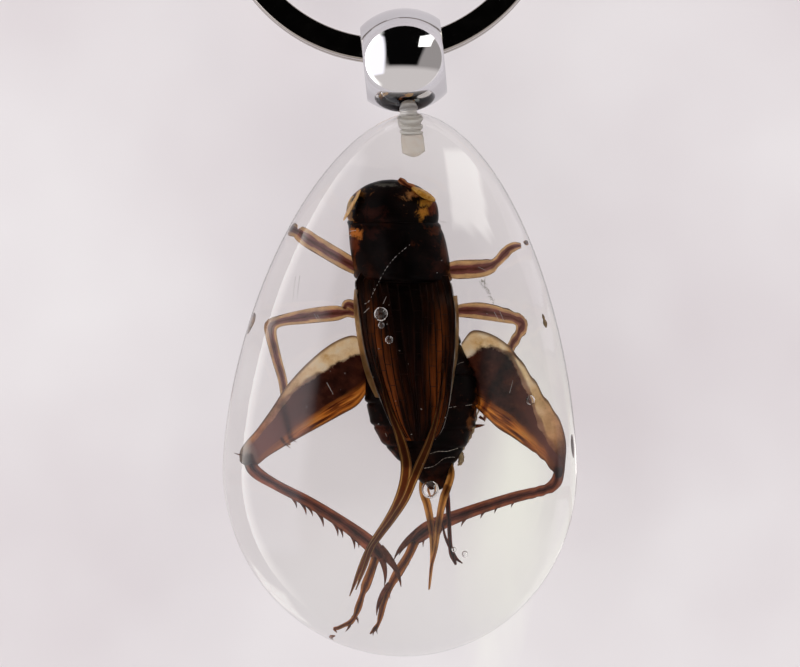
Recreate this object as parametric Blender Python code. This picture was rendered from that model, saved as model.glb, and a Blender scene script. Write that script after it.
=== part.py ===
"""A cricket cast in a clear resin drop, hung by a chrome bead on a flat split ring.

The drop lies on its flat back: its length is along Y, with the bead and the ring at +Y,
its domed front faces +Z, and the origin is on the flat back at the drop's widest place.
"""
import bpy
import bmesh
from math import asin, cos, pi, radians, sin, sqrt
from mathutils import Matrix, Vector

MM = 0.001
CLEAR = 0.3 * MM            # between pieces that touch, and around the insect in its pocket

# Drop, measured across, from the widest place to the apex and to the lower end, and through
DROP_HALF_WIDTH = 16.35 * MM
DROP_TO_APEX = 33.2 * MM
DROP_TO_END = 17.1 * MM
DROP_THICKNESS = 13.5 * MM
SHOULDER_POWER = 1.7        # how late the sides close in towards the apex
APEX_POWER = 0.56           # how blunt the apex is
CROWN_Y = 3.0 * MM          # where the dome is highest
GIRDLE_Z = 4.0 * MM         # height of the widest section
BACK_ROUNDING = 1.5 * MM    # how far the flat back stands in from the girdle
BOW = 0.42 * MM             # the hand-finished sides bow a little to the left halfway up
BOW_MIDDLE_Y = 8.0 * MM
BOW_HALF_SPAN = 24.5 * MM
BOW_OFFSET = -0.18 * MM
PARTING_Z = 5.6 * MM        # plane through the pin where the clear solid is parted
OUTLINE_POINTS = 48
DOME_LEVELS = 9
BACK_LEVELS = 5
LAST_DOME_ANGLE = radians(85)

# Bead with a bore for the ring, on the pin that is glued in the apex
BEAD_CENTRE = Vector((-0.94, 37.92, 5.6)) * MM
BAIL_LEAN = radians(7.5)    # the bead and pin lean to the left of the drop's axis
BEAD_RADIUS = 4.78 * MM
BEAD_HALF_LENGTH = 3.7 * MM
BEAD_FACE_RADIUS = 3.4 * MM
BEAD_STEPS = 10
BEAD_SIDES = 28
BORE_RADIUS = 3.0 * MM
BORE_FLARE = 0.15 * MM
PIN_RADIUS = 1.15 * MM
PIN_ROOT_RADIUS = 0.95 * MM
PIN_PITCH = 0.56 * MM
PIN_RIBS = 5
PIN_SOCKET = 1.0 * MM       # depth of the bead's socket for the pin
GLUE_RADIUS = 1.05 * MM
GLUE_LENGTH = 1.3 * MM
DRILL_TIP = 0.45 * MM       # height of the cone that the drill left
DRILL_TIP_SHARE = 0.15      # radius at the cone's end, as a share of the glue's
PIN_SIDES = 14
HOLE_SIDES = 16

# Flat split ring of two turns, hanging in the bead's bore
RING_MID_RADIUS = 14.7 * MM
RING_BAND = 2.2 * MM        # radial width of the flat wire
RING_TURN = 0.8 * MM        # thickness of one turn
RING_RISE = RING_TURN + CLEAR
RING_IN_BORE = 0.95 * MM    # the wire bears on the far side of the bore
RING_STEP = radians(30)     # arc over which the wire steps to its second turn
RING_STEP_AT = radians(120)
RING_SEGMENTS = 48
RING_FLOOR_GAP = CLEAR / 2  # the lying ring's far end is just above the surface

# Insect, read off the front of the dome, which magnifies it about the crown
LENS_ACROSS = 0.92
LENS_ALONG = 0.965
LENS_CENTRE_Y = 5.0
BODY_Z = 5.0
WING_THICKNESS = 0.4
SEAM_HALF_GAP = 0.17        # half the gap between the wing cases, as seen
WING_STEPS = 4
WING_POCKET_DROP = 0.5      # how much lower the wings' hollow is centred
LIMB_FLATNESS = 0.85        # height of a limb's section, as a share of its width
SMOOTH_ANGLE = radians(35)
BODY_SIDES = 20
FEMUR_SIDES = 12
LIMB_SIDES = 8
THIN_SIDES = 6

# Body as (y, centre x, half width, half height), from the brow to the tail end
BODY = [
    (26.9, -1.5, 0.9, 0.7), (26.3, -1.5, 2.5, 1.7), (25.1, -1.5, 3.6, 2.6),
    (23.7, -1.5, 4.1, 3.0), (22.9, -1.35, 3.9, 2.95), (21.6, -1.05, 4.3, 3.25),
    (19.0, -0.5, 4.45, 3.5), (18.5, -0.4, 4.45, 3.45), (18.1, -0.35, 4.3, 3.0),
    (14.0, 0.2, 4.3, 3.0), (11.0, 0.7, 4.4, 3.0), (8.5, 1.5, 5.1, 3.0),
    (6.4, 1.65, 5.05, 2.95), (4.5, 1.8, 4.7, 2.7), (2.6, 2.0, 3.8, 2.3),
    (0.8, 2.4, 2.4, 1.7), (-0.8, 3.0, 1.3, 1.1), (-1.5, 3.1, 0.5, 0.5),
]
# Forewings as (y, left edge x, right edge x, height of the midline)
FOREWINGS = [
    (17.6, -4.75, 4.15, 8.35), (15.0, -4.4, 4.5, 8.35), (12.0, -3.9, 4.6, 8.35),
    (9.3, -3.15, 4.45, 8.35), (6.6, -2.1, 4.25, 8.3), (4.6, -1.2, 3.85, 8.2),
    (3.1, -0.2, 3.1, 8.1),
]
WING_DROOP = 0.6            # how much lower the wings' outer edges are
# Tails of the folded hind wings as (x, y, half width)
HIND_WING = {
    "left": [
        (0.45, 2.3, 0.5), (0.5, 0.9, 0.5), (0.3, -0.9, 0.48), (-0.35, -2.9, 0.45),
        (-1.3, -4.6, 0.4), (-2.35, -6.2, 0.35), (-3.05, -7.5, 0.32), (-3.75, -9.3, 0.27),
        (-4.6, -11.6, 0.15),
    ],
    "right": [
        (2.2, 2.3, 0.5), (1.65, 0.9, 0.5), (1.15, -0.6, 0.45), (0.45, -2.4, 0.42),
        (-0.65, -4.2, 0.36), (-1.8, -5.8, 0.33), (-2.65, -7.1, 0.3), (-3.3, -9.0, 0.25),
        (-4.05, -11.05, 0.15),
    ],
}
HIND_WING_Z = {"left": 7.9, "right": 8.75}
HIND_WING_HALF_HEIGHT = 0.22

# Hind thighs as pairs of points on the upper and the lower edge, with the half thickness
HIND_FEMUR = {
    "left": [
        ((-4.75, 12.4), (-4.1, 6.0), 1.0), ((-6.6, 11.6), (-5.7, 4.95), 1.3),
        ((-8.6, 9.9), (-7.6, 3.8), 1.25), ((-10.6, 7.6), (-9.6, 2.6), 1.1),
        ((-12.1, 5.2), (-11.2, 1.6), 0.9), ((-13.4, 3.3), (-12.4, 0.8), 0.7),
        ((-14.6, 1.9), (-13.2, 0.0), 0.6),
    ],
    "right": [
        ((6.0, 13.2), (7.8, 4.9), 1.0), ((7.7, 12.9), (8.7, 4.1), 1.3),
        ((9.4, 11.8), (9.9, 3.4), 1.25), ((11.2, 9.6), (11.1, 2.6), 1.1),
        ((12.9, 7.1), (12.3, 1.8), 0.9), ((14.5, 5.1), (13.3, 1.1), 0.75),
        ((15.4, 3.1), (14.1, 0.3), 0.65), ((15.6, 0.9), (14.6, -0.3), 0.55),
    ],
}
HIND_FEMUR_Z = 4.9
# Shins and feet as (x, y, z, half width)
HIND_SHIN = {
    "left": [
        (-13.7, 0.8, 4.9, 0.5), (-13.5, -0.5, 4.9, 0.5), (-11.7, -1.45, 4.8, 0.45),
        (-8.4, -2.95, 4.6, 0.45), (-5.1, -4.8, 4.4, 0.45), (-2.6, -6.5, 4.3, 0.5),
        (-1.95, -7.5, 4.3, 0.5), (-2.4, -8.6, 4.3, 0.4), (-3.0, -10.4, 4.3, 0.38),
        (-3.6, -12.4, 4.4, 0.36), (-4.3, -13.7, 4.5, 0.3), (-5.3, -14.5, 4.5, 0.22),
        (-6.2, -15.0, 4.5, 0.1),
    ],
    "right": [
        (15.0, 0.4, 4.9, 0.5), (14.6, -0.95, 4.8, 0.5), (13.3, -1.35, 4.6, 0.45),
        (10.3, -2.05, 4.2, 0.45), (6.1, -3.45, 3.7, 0.45), (2.6, -5.0, 3.5, 0.5),
        (1.5, -5.9, 3.5, 0.5), (0.85, -7.3, 3.6, 0.42), (-0.1, -9.0, 3.6, 0.4),
        (-0.75, -10.4, 3.6, 0.36), (-1.25, -12.3, 3.7, 0.28), (-1.7, -14.1, 3.8, 0.22),
        (-2.6, -15.5, 3.9, 0.1),
    ],
}
SHIN_STATIONS = 6           # stations of the shin itself, before the foot
SPINE_COUNT = 6
SPINE_LENGTH = 0.95
SPINE_RADIUS = 0.16
SPINE_FIRST = 0.2           # where the row of spines begins and ends, as shares of the shin
SPINE_LAST = 0.85
SPUR_LENGTH = 1.9
SPUR_SPACING = 0.24
SPUR_SPREAD = 0.3
SPINE_POCKET = 0.85         # extra half width of the pocket round the spines
POCKET_MARGIN = 1.2         # pockets with few sides are cut this much wider than the gap

# Fore and mid legs as (x, y, z, half width)
FORELEG = {
    "left": [(-5.5, 19.2, 4.7, 0.7), (-7.1, 20.1, 4.8, 0.7), (-9.1, 21.2, 4.9, 0.6),
             (-9.8, 22.2, 4.9, 0.35)],
    "right": [(4.45, 18.8, 4.7, 0.8), (7.1, 19.1, 4.8, 0.75), (8.25, 19.9, 4.9, 0.5),
              (9.2, 20.9, 4.9, 0.42), (10.5, 21.2, 4.9, 0.38)],
}
MIDLEG = {
    "left": [(-4.65, 14.5, 4.3, 0.5), (-6.1, 14.4, 4.2, 0.65), (-9.1, 13.9, 3.8, 0.6),
             (-12.1, 13.2, 3.2, 0.5), (-12.5, 12.4, 2.9, 0.4), (-11.6, 9.8, 2.3, 0.35),
             (-10.9, 7.6, 2.1, 0.32), (-10.3, 3.5, 2.3, 0.3), (-10.1, 1.9, 3.0, 0.15)],
    "right": [(5.0, 15.0, 4.3, 0.6), (6.6, 15.0, 4.2, 0.75), (8.7, 14.6, 3.8, 0.65),
              (10.3, 14.2, 3.2, 0.5), (10.5, 13.4, 2.9, 0.4), (9.5, 11.6, 2.3, 0.35),
              (8.4, 8.8, 2.1, 0.32), (7.5, 6.3, 2.1, 0.3), (7.15, 4.7, 2.6, 0.15)],
}
# Tail end as (x, y, z, half width)
CERCUS = {
    "left": [(2.0, -1.55, 5.0, 0.3), (2.5, -2.7, 5.1, 0.32), (3.0, -5.3, 5.3, 0.28),
             (3.1, -7.2, 5.3, 0.22), (2.95, -10.5, 5.3, 0.1)],
    "right": [(4.6, -0.6, 6.1, 0.3), (4.0, -2.2, 6.15, 0.32), (3.65, -4.2, 6.2, 0.28),
              (3.4, -6.8, 6.2, 0.22), (3.05, -8.6, 6.2, 0.16), (2.9, -10.6, 6.2, 0.1)],
}
OVIPOSITOR = [(4.4, -1.9, 4.9, 0.26), (4.6, -3.6, 5.1, 0.24), (4.75, -5.4, 5.1, 0.22),
              (4.95, -7.2, 5.1, 0.26), (5.4, -8.3, 5.1, 0.12)]
ANTENNA = [(-0.75, 25.6, 5.6, 0.25), (-0.85, 26.9, 5.7, 0.2), (-1.15, 27.4, 5.8, 0.12)]


def clear_scene():
    for thing in list(bpy.data.objects):
        bpy.data.objects.remove(thing)


def material(name, colour, roughness, metallic=0.0):
    made = bpy.data.materials.new(name)
    made.use_nodes = True
    shader = made.node_tree.nodes["Principled BSDF"]
    shader.inputs["Base Color"].default_value = (*colour, 1.0)
    shader.inputs["Roughness"].default_value = roughness
    shader.inputs["Metallic"].default_value = metallic
    return made


def add_object(name, shape, finish=None):
    """Makes an object of a bmesh, with its faces as triangles and pointing out."""
    bmesh.ops.triangulate(shape, faces=shape.faces[:])
    bmesh.ops.recalc_face_normals(shape, faces=shape.faces[:])
    mesh = bpy.data.meshes.new(name)
    shape.to_mesh(mesh)
    shape.free()
    mesh.shade_smooth()
    mesh.set_sharp_from_angle(angle=SMOOTH_ANGLE)
    made = bpy.data.objects.new(name, mesh)
    bpy.context.collection.objects.link(made)
    if finish:
        mesh.materials.append(finish)
    return made


def as_cutter(thing):
    thing.hide_render = True
    thing.display_type = "WIRE"
    return thing


def boolean(target, other, operation):
    cut = target.modifiers.new(other.name, "BOOLEAN")
    cut.operation = operation
    cut.object = as_cutter(other)


def seen(x, y):
    """Real place, in metres, of what is seen at x and y millimetres through the dome."""
    return (x * LENS_ACROSS * MM, (LENS_CENTRE_Y + (y - LENS_CENTRE_Y) * LENS_ALONG) * MM)


def skin(shape, rings):
    """Joins rings of equally many points with faces and closes both ends."""
    loops = [[shape.verts.new(point) for point in ring] for ring in rings]
    count = len(loops[0])
    for low, high in zip(loops, loops[1:]):
        for i in range(count):
            j = (i + 1) % count
            shape.faces.new((low[i], low[j], high[j], high[i]))
    shape.faces.new(loops[0])
    shape.faces.new(loops[-1])
    return loops


def lofted(name, rings, finish=None):
    shape = bmesh.new()
    skin(shape, rings)
    return add_object(name, shape, finish)


def turned(name, profile, sides, finish=None, closed=False):
    """Turns (distance along the axis, radius) points about the object's own X axis."""
    shape = bmesh.new()
    angles = [2 * pi * i / sides for i in range(sides)]
    rings = [[(along, radius * cos(a), radius * sin(a)) for a in angles]
             for along, radius in profile]
    if closed:
        loops = [[shape.verts.new(point) for point in ring] for ring in rings]
        for low, high in zip(loops, loops[1:] + loops[:1]):
            for i in range(sides):
                j = (i + 1) % sides
                shape.faces.new((low[i], low[j], high[j], high[i]))
    else:
        skin(shape, rings)
    return add_object(name, shape, finish)


# Clear resin drop

def half_width_at(y):
    if y >= 0:
        return DROP_HALF_WIDTH * (1 - (y / DROP_TO_APEX) ** SHOULDER_POWER) ** APEX_POWER
    return DROP_HALF_WIDTH * sqrt(1 - (y / DROP_TO_END) ** 2)


def drop_outline():
    """Points round the girdle, closest together at the two ends."""
    points = []
    for i in range(OUTLINE_POINTS):
        angle = 2 * pi * i / OUTLINE_POINTS
        rise = sin(angle)
        y = rise * (DROP_TO_APEX if rise > 0 else DROP_TO_END)
        side = 1 if cos(angle) >= 0 else -1
        at_end = abs(rise) > 1 - 1e-9
        x = 0.0 if at_end else side * half_width_at(y)
        bow = BOW_OFFSET + BOW * ((y - BOW_MIDDLE_Y) / BOW_HALF_SPAN) ** 2
        points.append((x + bow, y))
    return points


def section_scale(z):
    """Size of the drop's section at a height, against its girdle."""
    if z >= GIRDLE_Z:
        return sqrt(max(0.0, 1 - ((z - GIRDLE_Z) / (DROP_THICKNESS - GIRDLE_Z)) ** 2))
    inset = BACK_ROUNDING / DROP_HALF_WIDTH
    return 1 - inset * (1 - sqrt(max(0.0, 1 - ((GIRDLE_Z - z) / GIRDLE_Z) ** 2)))


def drop_ring(z):
    scale = section_scale(z)
    return [(x * scale, CROWN_Y + (y - CROWN_Y) * scale, z) for x, y in drop_outline()]


def resin_front(finish):
    start = PARTING_Z + CLEAR / 2
    low = asin((start - GIRDLE_Z) / (DROP_THICKNESS - GIRDLE_Z))
    step = (LAST_DOME_ANGLE - low) / DOME_LEVELS
    heights = [GIRDLE_Z + (DROP_THICKNESS - GIRDLE_Z) * sin(low + step * k)
               for k in range(DOME_LEVELS + 1)]
    shape = bmesh.new()
    loops = skin(shape, [drop_ring(z) for z in heights])
    crown = next(face for face in shape.faces if set(face.verts) == set(loops[-1]))
    bmesh.ops.poke(shape, faces=[crown])
    shape.verts.ensure_lookup_table()
    shape.verts[-1].co.z = DROP_THICKNESS
    return add_object("resin_front", shape, finish)


def resin_back(finish):
    heights = [GIRDLE_Z * (1 - cos(pi / 2 * k / BACK_LEVELS)) for k in range(BACK_LEVELS + 1)]
    heights.append(PARTING_Z - CLEAR / 2)
    return lofted("resin_back", [drop_ring(z) for z in heights], finish)


# Bead, pin and ring

def bail_frame():
    frame = bpy.data.objects.new("bail_frame", None)
    bpy.context.collection.objects.link(frame)
    frame.location = BEAD_CENTRE
    frame.rotation_euler = (0, 0, BAIL_LEAN)
    return frame


def bead(frame, finish):
    """Barrel with its bore along X, flared a little at both faces."""
    reach = BEAD_HALF_LENGTH / sqrt(1 - (BEAD_FACE_RADIUS / BEAD_RADIUS) ** 2)
    outer = []
    for k in range(BEAD_STEPS + 1):
        x = BEAD_HALF_LENGTH * (2 * k / BEAD_STEPS - 1)
        outer.append((x, BEAD_RADIUS * sqrt(1 - (x / reach) ** 2)))
    bore = [(BEAD_HALF_LENGTH, BORE_RADIUS + BORE_FLARE),
            (BEAD_HALF_LENGTH - BORE_FLARE, BORE_RADIUS),
            (-BEAD_HALF_LENGTH + BORE_FLARE, BORE_RADIUS),
            (-BEAD_HALF_LENGTH, BORE_RADIUS + BORE_FLARE)]
    made = turned("bead", outer + bore, BEAD_SIDES, finish, closed=True)
    made.parent = frame
    socket_end = BEAD_RADIUS - PIN_SOCKET
    socket = turned("pin_socket", [(-socket_end, PIN_RADIUS + CLEAR),
                                   (-BEAD_RADIUS - MM, PIN_RADIUS + CLEAR)], HOLE_SIDES)
    socket.parent = frame
    socket.rotation_euler = (0, 0, pi / 2)
    boolean(made, socket, "DIFFERENCE")
    return made


def pin_stations():
    """Ends of the pin's plain neck, its thread and the glue, as distances from the bead."""
    top = -(BEAD_RADIUS - PIN_SOCKET) - CLEAR
    neck = -BEAD_RADIUS
    thread_end = neck - PIN_PITCH * PIN_RIBS
    return top, neck, thread_end


def screw_pin(frame, finish):
    top, neck, thread_end = pin_stations()
    profile = [(top, PIN_ROOT_RADIUS), (neck, PIN_ROOT_RADIUS)]
    for k in range(PIN_RIBS):
        profile.append((neck - (k + 0.5) * PIN_PITCH, PIN_RADIUS))
        profile.append((neck - (k + 1) * PIN_PITCH, PIN_ROOT_RADIUS))
    made = turned("screw_pin", profile, PIN_SIDES, finish)
    made.parent = frame
    made.rotation_euler = (0, 0, pi / 2)
    return thread_end


def glue_plug(frame, thread_end, finish):
    """Cured glue that fills the rest of the drilled hole, down to the drill's cone."""
    start = thread_end - CLEAR
    cone = start - GLUE_LENGTH
    made = turned("glue_plug", [(start, GLUE_RADIUS), (cone, GLUE_RADIUS),
                                (cone - DRILL_TIP, GLUE_RADIUS * DRILL_TIP_SHARE)],
                  PIN_SIDES, finish)
    made.parent = frame
    made.rotation_euler = (0, 0, pi / 2)


def pin_pocket(frame, thread_end):
    end = thread_end - CLEAR - GLUE_LENGTH - DRILL_TIP - CLEAR
    made = turned("pin_pocket", [(-BEAD_RADIUS + MM, PIN_RADIUS + CLEAR),
                                 (end + DRILL_TIP, PIN_RADIUS + CLEAR),
                                 (end, GLUE_RADIUS * DRILL_TIP_SHARE + CLEAR)],
                  HOLE_SIDES)
    made.parent = frame
    made.rotation_euler = (0, 0, pi / 2)
    return made


def split_ring(frame, finish):
    """Flat wire wound twice, stepping up between the turns, about the bead's bore axis."""
    reach = RING_IN_BORE + 2 * RING_MID_RADIUS + RING_BAND / 2
    half_height = RING_TURN + CLEAR / 2
    droop = asin((BEAD_CENTRE.z - half_height - RING_FLOOR_GAP) / reach)
    swing = bpy.data.objects.new("ring_swing", None)
    bpy.context.collection.objects.link(swing)
    swing.parent = frame
    swing.rotation_euler = (-droop, 0, 0)
    total = 4 * pi - RING_STEP
    segments = round(total / (2 * pi) * RING_SEGMENTS)
    rings = []
    for i in range(segments + 1):
        turn = total * i / segments
        climbed = min(1.0, max(0.0, (turn - (2 * pi - RING_STEP)) / RING_STEP))
        lift = RING_RISE * climbed * climbed * (3 - 2 * climbed)
        low = lift - half_height
        angle = RING_STEP_AT + turn
        ring = []
        for radial, height in ((-1, 0), (1, 0), (1, RING_TURN), (-1, RING_TURN)):
            radius = RING_MID_RADIUS + radial * RING_BAND / 2
            ring.append((radius * cos(angle),
                         RING_IN_BORE + RING_MID_RADIUS + radius * sin(angle),
                         low + height))
        rings.append(ring)
    made = lofted("split_ring", rings, finish)
    made.parent = swing


# Cricket

def oval(centre, across, half_width, half_height, sides, grow=0.0):
    """Ring of points round a station, with its width along a level direction."""
    ring = []
    for i in range(sides):
        angle = 2 * pi * (i + 0.5) / sides
        level = (half_width + grow) * cos(angle)
        up = (half_height + grow) * sin(angle)
        ring.append((centre[0] + across[0] * level, centre[1] + across[1] * level,
                     centre[2] + up))
    return ring


def body_rings(sides, grow=0.0):
    rings = []
    for y, x, half_width, half_height in BODY:
        place = seen(x, y)
        rings.append(oval((*place, BODY_Z * MM), (1, 0), half_width * LENS_ACROSS * MM,
                          half_height * MM, sides, grow))
    return stretched(rings, grow)


def stretched(rings, grow):
    """Moves the end rings outwards by the growth, along the first and last stretch."""
    if not grow:
        return rings
    middles = [sum((Vector(p) for p in ring), Vector()) / len(ring) for ring in rings]
    for end, neighbour in ((0, 1), (-1, -2)):
        step = (middles[end] - middles[neighbour]).normalized() * grow
        rings[end] = [tuple(Vector(p) + step) for p in rings[end]]
    return rings


def limb_rings(stations, sides=LIMB_SIDES, grow=0.0, extra_width=0.0):
    """Rings square to a limb's path, from (x, y, z, half width) stations as seen."""
    points = [Vector((*seen(x, y), z * MM)) for x, y, z, width in stations]
    rings = []
    for i, point in enumerate(points):
        ahead = points[min(i + 1, len(points) - 1)] - point
        behind = point - points[max(i - 1, 0)]
        path = ahead.normalized() + behind.normalized()
        path.z = 0
        path.normalize()
        half = stations[i][3] * MM
        rings.append(oval(point, (-path.y, path.x), half + extra_width,
                          half * LIMB_FLATNESS, sides, grow))
    return stretched(rings, grow)


def femur_rings(side, grow=0.0):
    rings = []
    for upper, lower, half_thickness in HIND_FEMUR[side]:
        top = Vector(seen(*upper))
        foot = Vector(seen(*lower))
        middle = (top + foot) / 2
        across = (top - foot).normalized()
        rings.append(oval((*middle, HIND_FEMUR_Z * MM), across, (top - foot).length / 2,
                          half_thickness * MM, FEMUR_SIDES, grow))
    return stretched(rings, grow)


def cricket_body(finish):
    """Head, pronotum, thorax and abdomen, with the stub of a broken feeler."""
    made = lofted("cricket_body", body_rings(BODY_SIDES), finish)
    boolean(made, lofted("antenna_stub", limb_rings(ANTENNA, THIN_SIDES)), "UNION")


def forewing_rings(side):
    """Sections of one arched wing case, from its seam on the midline to its outer edge."""
    rings = []
    for y, left, right, height in FOREWINGS:
        middle = (left + right) / 2
        half = (right - left) / 2
        sign = -1 if side == "left" else 1
        low, high = [], []
        for k in range(WING_STEPS + 1):
            part = k / WING_STEPS
            x = middle + sign * (SEAM_HALF_GAP + (half - SEAM_HALF_GAP) * part)
            z = height - WING_DROOP * part ** 2
            place = seen(x, y)
            low.append((place[0], place[1], z * MM))
            high.append((place[0], place[1], (z + WING_THICKNESS) * MM))
        rings.append(low + high[::-1])
    return rings


def wing_pocket_rings(grow):
    """One arched hollow round both wing cases."""
    rings = []
    for y, left, right, height in FOREWINGS:
        place = seen((left + right) / 2, y)
        half = (right - left) / 2 * LENS_ACROSS * MM
        rings.append(oval((*place, (height - WING_POCKET_DROP) * MM), (1, 0),
                          half + 3 * grow, (WING_THICKNESS + WING_POCKET_DROP) * MM
                          + 1.6 * grow, FEMUR_SIDES))
    return stretched(rings, grow * 2)


def hind_wing_rings(side, grow=0.0):
    """Sections of a folded wing's tail: a flat strip with pointed edges."""
    z = HIND_WING_Z[side]
    stations = [(x, y, z, half) for x, y, half in HIND_WING[side]]
    rings = limb_rings(stations, THIN_SIDES, grow)
    flat = HIND_WING_HALF_HEIGHT * MM + grow
    for ring in rings:
        for i, (x, y, height) in enumerate(ring):
            level = z * MM
            ring[i] = (x, y, level + (flat if height > level else -flat))
    return rings


def cone_on(shape, base, tip, radius):
    """Adds a slim spike with five sides to a bmesh."""
    way = tip - base
    turn = way.to_track_quat("Z", "Y").to_matrix().to_4x4()
    place = Matrix.Translation((base + tip) / 2) @ turn
    bmesh.ops.create_cone(shape, cap_ends=True, segments=5, radius1=radius,
                          radius2=radius * 0.2, depth=way.length, matrix=place)


def shin_spines(side):
    """Spikes along the shin's outer edge and spurs where the foot begins."""
    points = [Vector((*seen(x, y), z * MM)) for x, y, z, width in
              HIND_SHIN[side][:SHIN_STATIONS]]
    shape = bmesh.new()
    first, last = points[2], points[-1]
    path = (last - first).normalized()
    down = Vector((path.y, -path.x, 0)) if side == "left" else Vector((-path.y, path.x, 0))
    for k in range(SPINE_COUNT):
        share = SPINE_FIRST + (SPINE_LAST - SPINE_FIRST) * k / (SPINE_COUNT - 1)
        along = share * (len(points) - 3)
        index = min(int(along), len(points) - 4) + 2
        base = points[index].lerp(points[index + 1], along - index + 2)
        lean = (path * 0.6 + down * 0.8).normalized()
        cone_on(shape, base + down * 0.15 * MM, base + lean * SPINE_LENGTH * MM,
                SPINE_RADIUS * MM)
    for side_way in (-1, 1):
        start = points[-1] + Vector((side_way * SPUR_SPACING * MM, 0, 0))
        way = Vector((side_way * SPUR_SPREAD, -1, 0)).normalized()
        cone_on(shape, start, start + way * SPUR_LENGTH * MM, SPINE_RADIUS * MM)
    return add_object("spines_" + side, shape)


def hind_leg(side, finish):
    made = lofted("hind_leg_" + side, femur_rings(side), finish)
    boolean(made, lofted("shin_" + side, limb_rings(HIND_SHIN[side])), "UNION")
    boolean(made, shin_spines(side), "UNION")


def cricket(finishes):
    cricket_body(finishes["chitin"])
    for side in ("left", "right"):
        lofted("forewing_" + side, forewing_rings(side), finishes["wing"])
        lofted("hind_wing_" + side, hind_wing_rings(side), finishes["wing"])
        lofted("foreleg_" + side, limb_rings(FORELEG[side]), finishes["leg"])
        lofted("midleg_" + side, limb_rings(MIDLEG[side]), finishes["leg"])
        hind_leg(side, finishes["leg"])
        lofted("cercus_" + side, limb_rings(CERCUS[side], THIN_SIDES), finishes["amber"])
    lofted("ovipositor", limb_rings(OVIPOSITOR, THIN_SIDES), finishes["leg"])


def insect_pockets():
    """Hollows in the resin, each a grown copy of the piece that it holds."""
    grow = CLEAR * POCKET_MARGIN
    hollows = {
        "body": body_rings(BODY_SIDES - 4, CLEAR),
        "wings": wing_pocket_rings(CLEAR),
        "antenna": limb_rings(ANTENNA, THIN_SIDES, grow),
        "ovipositor": limb_rings(OVIPOSITOR, THIN_SIDES, grow),
    }
    for side in ("left", "right"):
        hollows["hind_wing_" + side] = hind_wing_rings(side, grow)
        hollows["foreleg_" + side] = limb_rings(FORELEG[side], LIMB_SIDES, grow)
        hollows["midleg_" + side] = limb_rings(MIDLEG[side], LIMB_SIDES, grow)
        hollows["thigh_" + side] = femur_rings(side, grow)
        hollows["shin_" + side] = limb_rings(HIND_SHIN[side], LIMB_SIDES, grow,
                                             SPINE_POCKET * MM)
        hollows["cercus_" + side] = limb_rings(CERCUS[side], THIN_SIDES, grow)
    return [lofted("pocket_" + name, rings) for name, rings in hollows.items()]


def main():
    clear_scene()
    finishes = {
        "resin": material("clear_resin", (0.86, 0.85, 0.83), 0.05),
        "chrome": material("chrome", (0.82, 0.82, 0.83), 0.08, 1.0),
        "nickel": material("nickel_ring", (0.45, 0.44, 0.43), 0.15, 1.0),
        "zinc": material("zinc_pin", (0.62, 0.61, 0.58), 0.4, 1.0),
        "glue": material("glue", (0.72, 0.69, 0.62), 0.6),
        "chitin": material("dark_chitin", (0.03, 0.012, 0.006), 0.35),
        "wing": material("wing", (0.12, 0.045, 0.015), 0.4),
        "leg": material("leg_chitin", (0.16, 0.06, 0.02), 0.4),
        "amber": material("amber_chitin", (0.35, 0.17, 0.05), 0.4),
    }
    halves = [resin_front(finishes["resin"]), resin_back(finishes["resin"])]
    frame = bail_frame()
    bead(frame, finishes["chrome"])
    thread_end = screw_pin(frame, finishes["zinc"])
    glue_plug(frame, thread_end, finishes["glue"])
    split_ring(frame, finishes["nickel"])
    cricket(finishes)
    for pocket in insect_pockets() + [pin_pocket(frame, thread_end)]:
        for half in halves:
            boolean(half, pocket, "DIFFERENCE")


main()
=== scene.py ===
"""Looks for a cricket cast in a clear resin drop with a chrome bead and a flat split ring."""
from math import asin, cos, exp, pi, radians, sin, sqrt
from random import Random

import bmesh
import bpy
from mathutils import Matrix, Vector


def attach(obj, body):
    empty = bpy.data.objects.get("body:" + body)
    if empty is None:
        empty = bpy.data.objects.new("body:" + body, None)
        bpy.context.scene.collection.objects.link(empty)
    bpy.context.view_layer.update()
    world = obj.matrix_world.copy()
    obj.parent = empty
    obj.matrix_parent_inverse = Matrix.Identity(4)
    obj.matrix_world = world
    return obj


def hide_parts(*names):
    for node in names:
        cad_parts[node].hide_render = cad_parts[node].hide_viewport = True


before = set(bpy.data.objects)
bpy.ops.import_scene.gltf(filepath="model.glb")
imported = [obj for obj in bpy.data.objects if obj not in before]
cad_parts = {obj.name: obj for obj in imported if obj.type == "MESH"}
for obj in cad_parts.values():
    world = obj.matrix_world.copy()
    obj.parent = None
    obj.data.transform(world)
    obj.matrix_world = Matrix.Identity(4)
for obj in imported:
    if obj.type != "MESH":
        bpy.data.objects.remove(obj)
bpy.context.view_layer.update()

bl_info = {
    "name": "Cricket in a Resin Drop",
    "version": (1, 0, 0),
    "blender": (4, 5, 0),
    "location": "3D View > Sidebar > Resin Drop",
    "description": "Builds a dried cricket in clear resin, with its bead, pin and split ring",
    "category": "Add Mesh",
}

MM = 0.001

# Places inside the resin are in millimetres, as seen through the dome, which magnifies them
LENS_ACROSS = 0.92
LENS_ALONG = 0.965
LENS_CENTRE_Y = 5.0
BODY_Z = 5.0

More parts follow.
